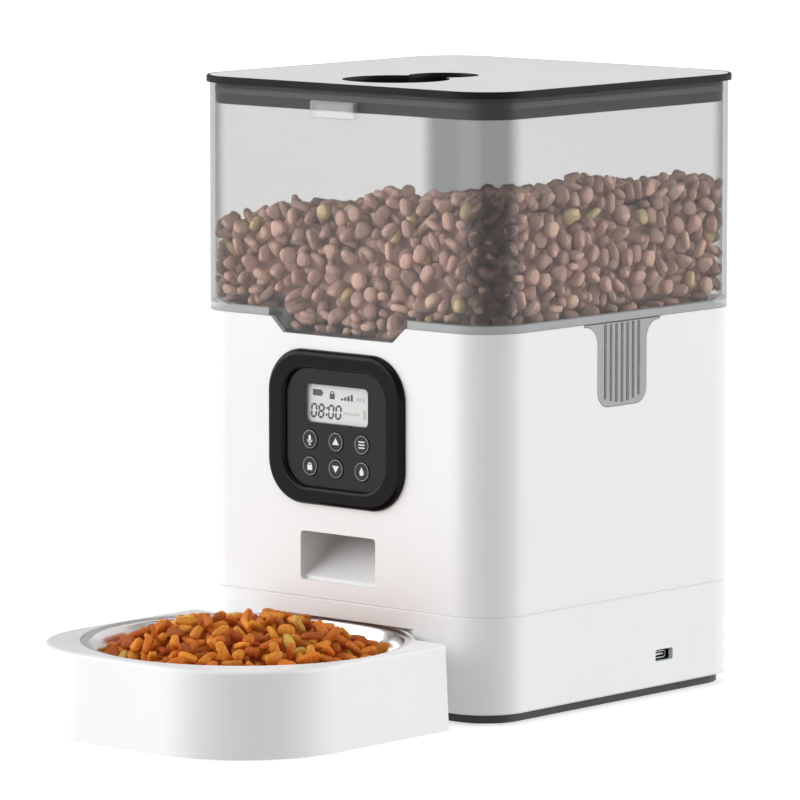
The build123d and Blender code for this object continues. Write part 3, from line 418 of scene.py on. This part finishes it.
def build_bowl():
    """The bowl's sheet: flat floor, rounded foot, flared wall and a rolled rim."""
    rim_r = (BOWL[1].x - BOWL[0].x) / 2
    top = BOWL[1].z
    low = BOWL[0].z
    sheet = 0.8 * MM
    wall_r = rim_r - 3.0 * MM
    foot_r = rim_r - 12.6 * MM
    foot_round = 12 * MM
    lean = math.atan2(wall_r - foot_r, top - sheet - low)
    turn = math.pi / 2 - lean
    reach = foot_round * math.tan(turn / 2)
    cx = foot_r - reach
    outer = [(0.0, low)]
    steps = 14
    foot_angles = [-math.pi / 2 + turn * k / steps for k in range(steps + 1)]
    for t in foot_angles:
        outer.append((cx + foot_round * math.cos(t), low + foot_round + foot_round * math.sin(t)))
    outer.append((wall_r, top - sheet))
    inner = [(0.0, low + sheet)]
    inner_round = foot_round - sheet
    for t in foot_angles:
        inner.append((cx + inner_round * math.cos(t),
                      low + foot_round + inner_round * math.sin(t)))
    lip = 1.5 * MM
    lip_x = wall_r - sheet + lip
    for k in range(8):
        t = math.pi - lean - (math.pi / 2 - lean) * k / 7
        inner.append((lip_x + lip * math.cos(t), top - lip + lip * math.sin(t)))
    roll = sheet / 2
    edge = []
    for k in range(9):
        t = -math.pi / 2 + math.pi * k / 8
        edge.append((rim_r - roll + roll * math.cos(t), top - roll + roll * math.sin(t)))
    profile = outer + edge + inner[::-1]
    piece = lathe("bowl_steel", profile, BOWL_MID, MATERIALS["steel_bowl"], "bowl")
    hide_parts("bowl")


# ---------------------------------------------------------------- kibble

CELL = 1.25 * MM                # grid on which pieces of food settle
FOOD_GRID = 4                   # faces along each side of a piece's cube
NESTLE = 0.8 * MM               # how far a piece settles into those below
MISSES = 160                    # pieces in a row that find no room before the heap is full

FOOD_HALF_X = HALF_W - 2.5 * MM
FOOD_HALF_Y = HALF_D - 2.5 * MM
FOOD_CORNER = 21.2 * MM
FOOD_FLOOR_Z = TOWER[1].z + 5.5 * MM
FOOD_TROUGH_Z = TOWER[1].z - 4.9 * MM
FOOD_TROUGH_HALF = 37.5 * MM
FLOOR_GAP = 1.5 * MM            # how far food stays above the floor it is dropped on
WALL_LAYER = 10 * MM            # depth of the pieces on the wall, on top and on the floor
TOP_LAYER = 20 * MM
FLOOR_LAYER = 6 * MM
CORE_INSET = 8.5 * MM
CORE_DEPTH = 11 * MM            # how far the core lies below the top of the food
# the core stands for the food further in, and its darker tone is painted shade in the gaps
# between the pieces
CORE_SHADE_TONE = (0.6, 0.38, 0.3, 1.0)

# place from the middle of the hopper, height and spread of each mound in the food
MOUNDS = [(-36 * MM, -90 * MM, 5 * MM, 18 * MM), (24 * MM, -88 * MM, 8 * MM, 18 * MM),
          (80 * MM, -8 * MM, 9 * MM, 15 * MM)]

HOPPER_SHAPES = [
    dict(share=0.26, length=8.0 * MM, width=7.6 * MM, height=4.0 * MM, corners=0, swell=0,
         square=4.0, plan=2.0),
    dict(share=0.24, length=8.2 * MM, width=5.6 * MM, height=4.0 * MM, corners=0, swell=0,
         square=3.4, plan=2.6),
    dict(share=0.18, length=8.0 * MM, width=7.8 * MM, height=3.8 * MM, corners=3, swell=0.15,
         square=3.8, plan=2.0),
    dict(share=0.16, length=9.4 * MM, width=3.6 * MM, height=3.6 * MM, corners=0, swell=0,
         square=3.4, plan=3.4),
    dict(share=0.16, length=5.0 * MM, width=4.2 * MM, height=3.4 * MM, corners=0, swell=0,
         square=3.0, plan=2.6),
]
BOWL_SHAPES = [
    dict(share=0.5, length=11.0 * MM, width=4.4 * MM, height=3.4 * MM, corners=0, swell=0,
         square=4.0, plan=3.6),
    dict(share=0.32, length=8.6 * MM, width=6.6 * MM, height=3.2 * MM, corners=3, swell=0.2,
         square=4.0, plan=2.2),
    dict(share=0.18, length=7.6 * MM, width=5.2 * MM, height=4.0 * MM, corners=0, swell=0,
         square=3.4, plan=2.8),
]
HOPPER_TONES = [(0.03, (0.85, 0.66, 0.36)), (0.12, (0.8, 0.54, 0.42)), (0.42, (0.76, 0.49, 0.4)),
                (0.43, (0.72, 0.46, 0.38))]
BOWL_TONES = [(0.06, (0.9, 0.6, 0.12)), (0.38, (0.95, 0.36, 0.03)), (0.34, (0.85, 0.24, 0.018)),
              (0.22, (0.6, 0.14, 0.01))]


def sphere_grid(n):
    """Directions and faces of a cube whose sides are n by n, blown up to a sphere."""
    index = {}
    points = []
    faces = []

    def corner(p):
        key = tuple(round(c, 6) for c in p)
        if key not in index:
            index[key] = len(points)
            points.append(p)
        return index[key]

    steps = [math.tan(math.pi / 4 * (2 * k / n - 1)) for k in range(n + 1)]
    for axis in range(3):
        for side in (-1.0, 1.0):
            for i in range(n):
                for j in range(n):
                    quad = []
                    for a, b in ((i, j), (i + 1, j), (i + 1, j + 1), (i, j + 1)):
                        p = [0.0, 0.0, 0.0]
                        p[axis] = side
                        p[(axis + 1) % 3] = steps[a]
                        p[(axis + 2) % 3] = steps[b]
                        quad.append(corner(tuple(p)))
                    faces.append(quad if side > 0 else quad[::-1])
    directions = np.array(points)
    directions /= np.linalg.norm(directions, axis=1)[:, None]
    return directions, faces


def food_shape(directions, length, width, height, corners, swell, square, plan, seed):
    """A piece of dry food: a rounded slab, slightly uneven all over. plan rounds its outline,
    square its edges, and corners lobes stand out by swell."""
    rng = np.random.default_rng(seed)
    across = np.abs(directions[:, :2]) + 1e-9
    flat = (across[:, 0] ** plan + across[:, 1] ** plan) ** (1 / plan)
    up = np.abs(directions[:, 2])
    radius = (flat ** square + up ** square) ** (-1 / square)
    turn = np.arctan2(directions[:, 1], directions[:, 0])
    lobes = 1 + swell * np.cos(corners * turn) if corners else np.ones_like(turn)
    points = directions * radius[:, None]
    for _ in range(4):
        wave = rng.normal(size=3) * 2.4
        shift = rng.uniform(0, 2 * math.pi)
        points *= (1 + 0.035 * np.sin(directions @ wave + shift))[:, None]
    points[:, 0] *= length / 2 * lobes
    points[:, 1] *= width / 2 * lobes
    points[:, 2] *= height / 2
    return points


def random_turn(rng, flatness):
    """A rotation matrix: any heading, and a tilt that is smaller for a higher flatness."""
    heading = rng.uniform(0, 2 * math.pi)
    lean = rng.uniform(0, math.pi / 2) * (1 - flatness * rng.uniform(0, 1))
    about = rng.uniform(0, 2 * math.pi)
    spin = Matrix.Rotation(heading, 3, "Z")
    tilt = Matrix.Rotation(lean, 3, Vector((math.cos(about), math.sin(about), 0)))
    return np.array(tilt @ spin)


def envelope(points):
    """Lowest and highest surface of a piece over each cell of the grid it covers."""
    low = np.floor(points[:, :2].min(0) / CELL).astype(int)
    cells = np.floor(points[:, :2] / CELL).astype(int) - low
    shape = cells.max(0) + 1
    bottom = np.full(shape, np.inf)
    top = np.full(shape, -np.inf)
    np.minimum.at(bottom, (cells[:, 0], cells[:, 1]), points[:, 2])
    np.maximum.at(top, (cells[:, 0], cells[:, 1]), points[:, 2])
    return low, bottom, top


def settle(shapes, ground, target, rng, count, tries, flatness, variants=160):
    """Drops pieces of food one by one onto the ground until they reach the target height.
    ground and target are height maps. Yields each piece's points, its place in cells, its
    height, and the cell under its middle."""
    dense, _ = sphere_grid(11)
    light, _ = sphere_grid(FOOD_GRID)
    library = []
    for v in range(variants):
        kind = shapes[rng.choice(len(shapes), p=[s["share"] for s in shapes])]
        sizes = [kind[k] * rng.uniform(0.88, 1.12) for k in ("length", "width", "height")]
        form = {k: kind[k] for k in ("corners", "swell", "square", "plan")}
        form["seed"] = v
        turn = random_turn(rng, flatness)
        solid = food_shape(dense, *sizes, **form) @ turn.T
        library.append((envelope(solid), food_shape(light, *sizes, **form) @ turn.T))
    height = ground.copy()
    nx, ny = height.shape
    misses = 0
    for _ in range(count):
        (low, bottom, top), points = library[rng.integers(variants)]
        w, h = bottom.shape
        best = None
        for _ in range(tries):
            i = rng.integers(0, nx - w)
            j = rng.integers(0, ny - h)
            window = height[i:i + w, j:j + h]
            covered = np.isfinite(bottom)
            z = (window[covered] - bottom[covered]).max()
            if not np.isfinite(z) or target[i + w // 2, j + h // 2] < z:
                continue
            if best is None or z < best[0]:
                best = (z, i, j)
        if best is None:
            misses += 1
            if misses > MISSES:
                return
            continue
        z, i, j = best
        z -= NESTLE
        window = height[i:i + w, j:j + h]
        filled = np.isfinite(top)
        window[filled] = np.maximum(window[filled], z + top[filled])
        yield points, i - low[0], j - low[1], z


def paint(piece, colors):
    """Gives each vertex its red, green, blue and alpha, for the food's material to read."""
    layer = piece.data.color_attributes.new("tone", "FLOAT_COLOR", "POINT")
    layer.data.foreach_set("color", colors.ravel())


def add_food(name, pieces, material, body):
    """Joins the pieces, each a pair of points and colour, into one mesh."""
    _, quads = sphere_grid(FOOD_GRID)
    stride = len(pieces[0][0])
    faces_once = np.array(quads)
    vertices = np.concatenate([points for points, _ in pieces])
    faces = np.concatenate([faces_once + k * stride for k in range(len(pieces))])
    piece = add_piece(name, vertices.tolist(), faces.tolist(), material, body, True)
    colors = np.ones((len(vertices), 4), np.float32)
    colors[:, :3] = np.repeat(np.array([color for _, color in pieces]), stride, axis=0)
    paint(piece, colors)


def pick_tone(rng, palette):
    """One piece's colour, from (share, colour) rows, a little lighter or darker."""
    row = palette[rng.choice(len(palette), p=[share for share, _ in palette])]
    return np.array(row[1]) * rng.uniform(0.85, 1.15)


def inset_outline(inset, u):
    """A point on the hopper's inside wall moved inwards by inset, and the wall's heading there.
    u runs once round, from 0 to 1, from the middle of the rear wall by the left side."""
    half_x, half_y, r = FOOD_HALF_X - inset, FOOD_HALF_Y - inset, max(FOOD_CORNER - inset, MM)
    straight_x, straight_y = 2 * (half_x - r), 2 * (half_y - r)
    turn = math.pi / 2 * r
    s = u * (2 * straight_x + 2 * straight_y + 4 * turn)
    x, y, heading = 0.0, half_y, math.pi
    for leg in (straight_x / 2, turn, straight_y, turn, straight_x, turn, straight_y, turn,
                straight_x / 2):
        step = min(s, leg)
        if leg == turn:
            bend = step / r
            cx, cy = x - r * math.sin(heading), y + r * math.cos(heading)
            heading += bend
            x, y = cx + r * math.sin(heading), cy - r * math.cos(heading)
        else:
            x += step * math.cos(heading)
            y += step * math.sin(heading)
        s -= step
        if s <= 0:
            break
    return x, y, heading


def food_level(x, y):
    """Height of the food in the hopper: higher at the right, uneven, with a few mounds."""
    level = TOWER[1].z + 0.495 * (HOPPER[1].z - TOWER[1].z) + 0.115 * x - 0.01 * y
    level = level + 1.3 * MM * np.sin(x / (17 * MM) + 0.6) * np.cos(y / (19 * MM))
    for mound_x, mound_y, height, spread in MOUNDS:
        away = ((x - mound_x) ** 2 + (y - mound_y) ** 2) / spread ** 2
        level = level + height * np.exp(-away)
    return level


def add_hopper_food(pieces):
    """Sorts the pieces into four meshes, by the quarter of the hopper they lie in."""
    quarters = {}
    for points, color in pieces:
        x, y, _ = points.mean(0)
        side = "front" if y < TOWER_MID.y else "rear"
        quarters.setdefault(f"{side}_{'left' if x < 0 else 'right'}", []).append((points, color))
    for name in sorted(quarters):
        add_food("kibble_hopper_" + name, quarters[name], HOPPER_FOOD, "hopper")


def wall_food(rng):
    """The layer that shows: pieces lying against the hopper's wall, all the way round."""
    length = 2 * math.pi * FOOD_CORNER + 4 * (FOOD_HALF_X + FOOD_HALF_Y - 2 * FOOD_CORNER)
    nu = int(length / CELL)
    low = FOOD_TROUGH_Z
    nv = int((HOPPER[1].z - low) / CELL)
    ground = np.full((nu, nv), np.inf)
    for i in range(nu):
        x, y, _ = inset_outline(0, (i + 0.5) / nu)
        in_trough = abs(x) < FOOD_TROUGH_HALF and y < 0
        foot = FOOD_TROUGH_Z if in_trough else FOOD_FLOOR_Z
        top = food_level(x, y) + 1.5 * MM
        ground[i, int((foot - low) / CELL) + 1:int((top - low) / CELL)] = 0.0
    target = np.full_like(ground, WALL_LAYER)
    for points, i, j, w in settle(HOPPER_SHAPES, ground, target, rng, 8000, 90, 0.5):
        middle = points.mean(0)
        u = (i * CELL + middle[0]) / length
        x, y, heading = inset_outline(0, u % 1)
        bulge = 0.5 * MM if min(FOOD_HALF_X - abs(x), FOOD_HALF_Y - abs(y)) > 0.2 * MM else 0.0
        along = points[:, 0] - middle[0]
        depth = points[:, 2] + w + bulge
        world = np.empty_like(points)
        world[:, 0] = x + along * math.cos(heading) - depth * math.sin(heading)
        world[:, 1] = TOWER_MID.y + y + along * math.sin(heading) + depth * math.cos(heading)
        world[:, 2] = low + j * CELL + points[:, 1]
        yield world, pick_tone(rng, HOPPER_TONES)


def square_map(inset):
    """Cell middles over the hopper, and how far each is inside the wall."""
    nx, ny = int(2 * FOOD_HALF_X / CELL), int(2 * FOOD_HALF_Y / CELL)
    x = (np.arange(nx) - (nx - 1) / 2)[:, None] * CELL
    y = (np.arange(ny) - (ny - 1) / 2)[None, :] * CELL
    dx = np.abs(x) - (FOOD_HALF_X - FOOD_CORNER)
    dy = np.abs(y) - (FOOD_HALF_Y - FOOD_CORNER)
    outside = np.hypot(np.maximum(dx, 0), np.maximum(dy, 0))
    gap = FOOD_CORNER - outside - np.minimum(np.maximum(dx, dy), 0)
    return x, y, gap - inset


def loose_food(rng, ground, target, count, tries, flatness):
    """Pieces that lie on a height map inside the hopper."""
    nx, ny = ground.shape
    for points, i, j, z in settle(HOPPER_SHAPES, ground, target, rng, count, tries, flatness):
        shift = ((i - nx / 2) * CELL, TOWER_MID.y + (j - ny / 2) * CELL, z)
        yield points + shift, pick_tone(rng, HOPPER_TONES)


def funnel_floor(x, y):
    """Height of what carries the food: the hopper's funnel, the feed cover and the rotor."""
    trees = []
    for name in ("hopper", "feed_cover"):
        node = NODES[name]
        corners = [node.matrix_world @ vertex.co for vertex in node.data.vertices]
        faces = [tuple(polygon.vertices) for polygon in node.data.polygons]
        trees.append(BVHTree.FromPolygons(corners, faces))
    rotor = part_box("rotor")
    rotor_y = (rotor[0].y + rotor[1].y) / 2 - TOWER_MID.y
    reach = (rotor[1].y - rotor[0].y) / 2 + 6 * MM
    ground = np.where(np.hypot(x, y - rotor_y) < reach, rotor[1].z + 2 * MM, np.inf)
    top = FOOD_FLOOR_Z + 14 * MM
    down = Vector((0, 0, -1))
    for i in range(ground.shape[0]):
        for j in range(ground.shape[1]):
            start = Vector((x[i, 0], TOWER_MID.y + y[0, j], top))
            for tree in trees:
                hit = tree.ray_cast(start, down)[0]
                if hit is not None:
                    low = ground[i, j] if np.isfinite(ground[i, j]) else -1.0
                    ground[i, j] = max(low, hit.z + FLOOR_GAP)
    return ground


def food_core():
    """The inside of the heap, behind the pieces that show; it is darker than the pieces, as
    painted shade in the gaps between them.
    """
    around = 96
    foot_z = max(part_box("rotor")[1].z + 3 * MM, FOOD_FLOOR_Z - 6 * MM)
    rings = [(foot_z, 26 * MM), (FOOD_FLOOR_Z + 3 * MM, CORE_INSET)]
    vertices = []
    for z, ring_inset in rings:
        for k in range(around):
            x, y, _ = inset_outline(ring_inset, k / around)
            in_trough = abs(x) < FOOD_TROUGH_HALF and y < 0
            vertices.append((x, TOWER_MID.y + y, FOOD_TROUGH_Z + 6 * MM if in_trough else z))
    steps = 10
    for step in range(steps):
        share = 1 - step / steps
        for k in range(around):
            x, y, _ = inset_outline(CORE_INSET, k / around)
            x, y = x * share, y * share
            vertices.append((x, TOWER_MID.y + y, food_level(x, y) - CORE_DEPTH))
    last = len(vertices)
    vertices.append((0, TOWER_MID.y, food_level(0, 0) - CORE_DEPTH))
    vertices.append((0, TOWER_MID.y, foot_z))
    faces = []
    total = len(rings) + steps
    for ring in range(total - 1):
        for k in range(around):
            n = (k + 1) % around
            low, high = ring * around, (ring + 1) * around
            faces.append([low + k, low + n, high + n, high + k])
    top = (total - 1) * around
    for k in range(around):
        n = (k + 1) % around
        faces.append([top + k, top + n, last])
        faces.append([n, k, last + 1])
    piece = add_piece("kibble_hopper_core", vertices, faces, HOPPER_FOOD, "hopper", True)
    paint(piece, np.tile(np.array(CORE_SHADE_TONE, np.float32), len(vertices)))


def fill_hopper():
    """Food in the hopper: on its walls, on top and on its floor, round a core."""
    rng = np.random.default_rng(11)
    pieces = list(wall_food(rng))
    x, y, gap = square_map(6.5 * MM)
    level = food_level(x, y)
    top_ground = np.where(gap < 0, np.inf, level - TOP_LAYER)
    pieces += list(loose_food(rng, top_ground, level, 6000, 16, 0.4))
    x, y, gap = square_map(0.3 * MM)
    floor = funnel_floor(x, y)
    floor_ground = np.where(gap < 0, np.inf, floor)
    pieces += list(loose_food(rng, floor_ground, floor + FLOOR_LAYER, 5000, 16, 0.5))
    add_hopper_food(pieces)
    food_core()


def fill_bowl():
    """A heap of food in the bowl."""
    rng = np.random.default_rng(5)
    rim_r = (BOWL[1].x - BOWL[0].x) / 2
    rim_z = BOWL[1].z
    heap_r = rim_r - 12 * MM
    n = int(2 * (rim_r - 4 * MM) / CELL)
    x = (np.arange(n) - (n - 1) / 2)[:, None] * CELL
    y = (np.arange(n) - (n - 1) / 2)[None, :] * CELL
    r = np.hypot(x, y)
    share = np.clip(r / heap_r, 0, 1.2)
    target = rim_z - 5 * MM + 16.5 * MM * (1 - share ** 2.2)
    target += 1.5 * MM * np.sin(x / (13 * MM)) * np.sin(y / (11 * MM) + 0.7)
    ground = np.maximum(target - 15 * MM, BOWL[0].z + 1.2 * MM)
    wall = BOWL[0].z + (r - (rim_r - 16 * MM)) / (11 * MM) * (rim_z - BOWL[0].z)
    ground = np.maximum(ground, wall)
    ground = np.where(r > rim_r - 5 * MM, np.inf, ground)
    pieces = []
    for points, i, j, z in settle(BOWL_SHAPES, ground, target, rng, 4000, 12, 0.2, 120):
        shift = (BOWL_MID.x + (i - n / 2) * CELL, BOWL_MID.y + (j - n / 2) * CELL, z)
        pieces.append((points + shift, pick_tone(rng, BOWL_TONES)))
    add_food("kibble_bowl", pieces, BOWL_FOOD, "bowl")


# ---------------------------------------------------------------- display

SEGMENTS = {"0": "abcdef", "8": "abcdefg"}


def digit(char, left, low, width, height, stroke):
    """Seven-segment bars of one digit, as six-pointed outlines."""
    half = stroke / 2
    trim = stroke * 0.1
    mid = low + height / 2
    right = left + width
    top = low + height
    bars = {
        "a": ((left, top), (right, top)), "g": ((left, mid), (right, mid)),
        "d": ((left, low), (right, low)), "f": ((left, mid), (left, top)),
        "b": ((right, mid), (right, top)), "e": ((left, low), (left, mid)),
        "c": ((right, low), (right, mid)),
    }
    outlines = []
    for key in SEGMENTS[char]:
        (x0, z0), (x1, z1) = bars[key]
        length = math.hypot(x1 - x0, z1 - z0)
        dx, dz = (x1 - x0) / length, (z1 - z0) / length
        shape = [(trim, 0), (trim + half, -half), (length - trim - half, -half),
                 (length - trim, 0), (length - trim - half, half),
                 (trim + half, half)]
        outlines.append([(x0 + a * dx - b * dz, z0 + a * dz + b * dx) for a, b in shape])
    return outlines


def build_display():
    """The clock and the plain symbols on the display."""
    low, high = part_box("lcd_module")
    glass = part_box("lcd_window")
    place = facing_front((glass[0].x + glass[1].x) / 2, (glass[0].z + glass[1].z) / 2, low.y)
    ink = 0.06
    slant = 0.09

    def slanted(outlines):
        return [[(a + slant * u, u) for a, u in outline] for outline in outlines]

    clock = []
    for char, left in (("0", -17.0), ("8", -12.4), ("0", -6.2), ("0", -1.6)):
        clock += digit(char, left, -6.6, 2.9, 5.9, 1.15)
    clock.append(arc(-7.6, -2.0, 0.6, 0, 330, 11))
    clock.append(arc(-7.6, -5.2, 0.6, 0, 330, 11))
    prism("display_clock", slanted(clock), place, ink, LCD_INK, "housing")
    battery = [rectangle(-16.6, 3.4, -10.8, 6.4), rectangle(-10.8, 4.2, -10.1, 5.6)]
    lock = [rectangle(-6.0, 2.4, -2.8, 5.0), band(-4.4, 5.0, 0.75, 1.3, 0, 180, 12)]
    prism("display_battery", battery, place, ink, LCD_INK, "housing")
    prism("display_lock", lock, place, ink, LCD_INK, "housing")
    steps = [rectangle(1.2 + 2.0 * k, 2.3, 2.6 + 2.0 * k, 3.3 + 0.7 * k) for k in range(4)]
    prism("display_level", steps, place, ink, LCD_INK, "housing")
    faint = [rectangle(3.0 + 2.0 * k, -4.4, 4.4 + 2.0 * k, -3.2) for k in range(5)]
    faint += [rectangle(11.0 + 1.9 * k, 2.6, 12.2 + 1.9 * k, 4.4) for k in range(3)]
    faint += [rectangle(15.0, -5.6, 16.8, -1.4)]
    prism("display_portion", faint, place, ink, LCD_FAINT, "housing")


# ---------------------------------------------------------------- key symbols

KEY_SIGNS = {
    "key_voice": [
        arc(0, 1.3, 0.75, 0, 180, 10) + arc(0, -0.1, 0.75, 180, 360, 10),
        band(0, 0.1, 1.35, 1.75, 190, 350, 14),
        rectangle(-0.2, -2.4, 0.2, -1.7),
        rectangle(-0.9, -2.7, 0.9, -2.35),
    ],
    "key_up": [[(-2.1, -1.4), (2.1, -1.4), (0, 1.9)]],
    "key_set": [rectangle(-1.9, z - 0.3, 1.9, z + 0.3) for z in (-1.4, 0.0, 1.4)],
    "key_lock": [
        rectangle(-1.5, -1.9, 1.5, 0.5),
        band(0, 0.5, 0.7, 1.2, 0, 180, 12),
    ],
    "key_down": [[(-2.1, 1.4), (0, -1.9), (2.1, 1.4)]],
    "key_feed": [arc(0, -0.5, 1.35, -215, 35, 18) + [(0, 2.3)]],
}


def build_key_signs():
    for key, outlines in KEY_SIGNS.items():
        low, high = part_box(key)
        place = facing_front((low.x + high.x) / 2, (low.z + high.z) / 2, low.y)
        prism(key + "_sign", outlines, place, 0.05, PRINT_WHITE, key)
        ring = [band(0, 0, 4.0, 4.3, 120 * k, 120 * (k + 1), 20) for k in range(3)]
        prism(key + "_ring", ring, place, 0.05, PRINT_GREY, key)


# ---------------------------------------------------------------- ribs on the release tabs

def build_tab_ribs():
    """Upright ribs moulded on each release tab."""
    for side, hand in (("right", 1), ("left", -1)):
        low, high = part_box("release_tab_" + side)
        surface = high.x if hand > 0 else low.x
        middle_y = (low.y + high.y) / 2

        def place(across, up, out):
            return Vector((surface + hand * out * MM, middle_y + across * MM, low.z + up * MM))

        top = (high.z - low.z) / MM - 0.4
        pitch, half = 4.1, 0.8
        ribs = []
        for k in range(-3, 4):
            foot = 1.2 + 0.4 * abs(k) ** 1.6
            middle = pitch * k
            ribs.append(arc(middle, foot + half, half, 180, 360, 8)
                        + [(middle + half, top), (middle - half, top)])
        prism(f"tab_ribs_{side}", ribs, place, 0.2, RIB_GREY, "tab_" + side)


# ---------------------------------------------------------------- floor, light, camera

def build_stage():
    """A plain pale floor. It glows a little and throws no light on the object."""
    size = 30.0
    mesh = bpy.data.meshes.new("floor")
    corners = [(-size, -size, 0), (size, -size, 0), (size, size, 0), (-size, size, 0)]
    mesh.from_pydata(corners, [], [(0, 1, 2, 3)])
    floor = bpy.data.objects.new("floor", mesh)
    SCENE.collection.objects.link(floor)
    material, tree, shader, coords = new_shader("studio_floor")
    link(tree, remap(tree, noise(tree, coords, 0.4, detail=2), 0.55, 0.65),
         shader.inputs["Roughness"])
    shader.inputs["Base Color"].default_value = (0.6, 0.6, 0.6, 1)
    shader.inputs["Specular IOR Level"].default_value = 0.2
    shader.inputs["Emission Color"].default_value = (1, 1, 1, 1)
    shader.inputs["Emission Strength"].default_value = 0.62
    mesh.materials.append(material)
    floor.visible_diffuse = False


def direction(azimuth, elevation):
    """A unit vector; azimuth is measured from the front towards the right side, in degrees."""
    a = math.radians(azimuth)
    e = math.radians(elevation)
    return Vector((math.sin(a) * math.cos(e), -math.cos(a) * math.cos(e), math.sin(e)))


# azimuth, elevation, radius and softness in degrees, then strength
SOFTBOXES = (
    (-47, 10, 30, 8, 4.25),
    (137, 10, 30, 8, 3.25),
    (0, 80, 20, 8, 1.3),
)
AMBIENT = 0.575


def build_world():
    """Even white ambient light with round softboxes, and a plain white backdrop."""
    world = bpy.data.worlds.new("studio")
    SCENE.world = world
    world.use_nodes = True
    tree = world.node_tree
    tree.nodes.clear()
    out = tree.nodes.new("ShaderNodeOutputWorld")
    light = tree.nodes.new("ShaderNodeBackground")
    backdrop = tree.nodes.new("ShaderNodeBackground")
    backdrop.inputs["Color"].default_value = (1, 1, 1, 1)
    backdrop.inputs["Strength"].default_value = 1.1
    rays = tree.nodes.new("ShaderNodeLightPath")
    choose = tree.nodes.new("ShaderNodeMixShader")
    link(tree, rays.outputs["Is Camera Ray"], choose.inputs[0])
    link(tree, light.outputs[0], choose.inputs[1])
    link(tree, backdrop.outputs[0], choose.inputs[2])
    link(tree, choose.outputs[0], out.inputs["Surface"])
    coords = tree.nodes.new("ShaderNodeTexCoord").outputs["Generated"]
    total = AMBIENT
    for azimuth, elevation, radius, soft, strength in SOFTBOXES:
        dot = tree.nodes.new("ShaderNodeVectorMath")
        dot.operation = "DOT_PRODUCT"
        dot.inputs[1].default_value = direction(azimuth, elevation)
        link(tree, coords, dot.inputs[0])
        disc = tree.nodes.new("ShaderNodeMapRange")
        disc.interpolation_type = "SMOOTHSTEP"
        disc.inputs["From Min"].default_value = math.cos(math.radians(radius + soft))
        disc.inputs["From Max"].default_value = math.cos(math.radians(radius - soft))
        disc.inputs["To Max"].default_value = strength
        link(tree, dot.outputs["Value"], disc.inputs["Value"])
        total = calculate(tree, "ADD", disc.outputs["Result"], total)
    link(tree, total, light.inputs["Strength"])


def build_camera():
    """A long lens, from the front right and a little above."""
    data = bpy.data.cameras.new("camera")
    data.sensor_width = 36.0
    data.lens = 282.6
    data.clip_end = 100
    camera = bpy.data.objects.new("camera", data)
    aim = Vector((-0.0228, TOWER_MID.y - 0.02435, 0.13786))
    eye = Vector((1.958, TOWER_MID.y - 2.2674, 0.5066))
    camera.location = eye
    camera.rotation_euler = (aim - eye).to_track_quat("-Z", "Y").to_euler()
    SCENE.collection.objects.link(camera)
    SCENE.camera = camera


dress_cad_nodes()
build_bowl()
fill_hopper()
fill_bowl()
build_display()
build_key_signs()
build_tab_ribs()
build_stage()
build_world()
build_camera()
SCENE.view_settings.view_transform = "Standard"

bpy.context.view_layer.update()
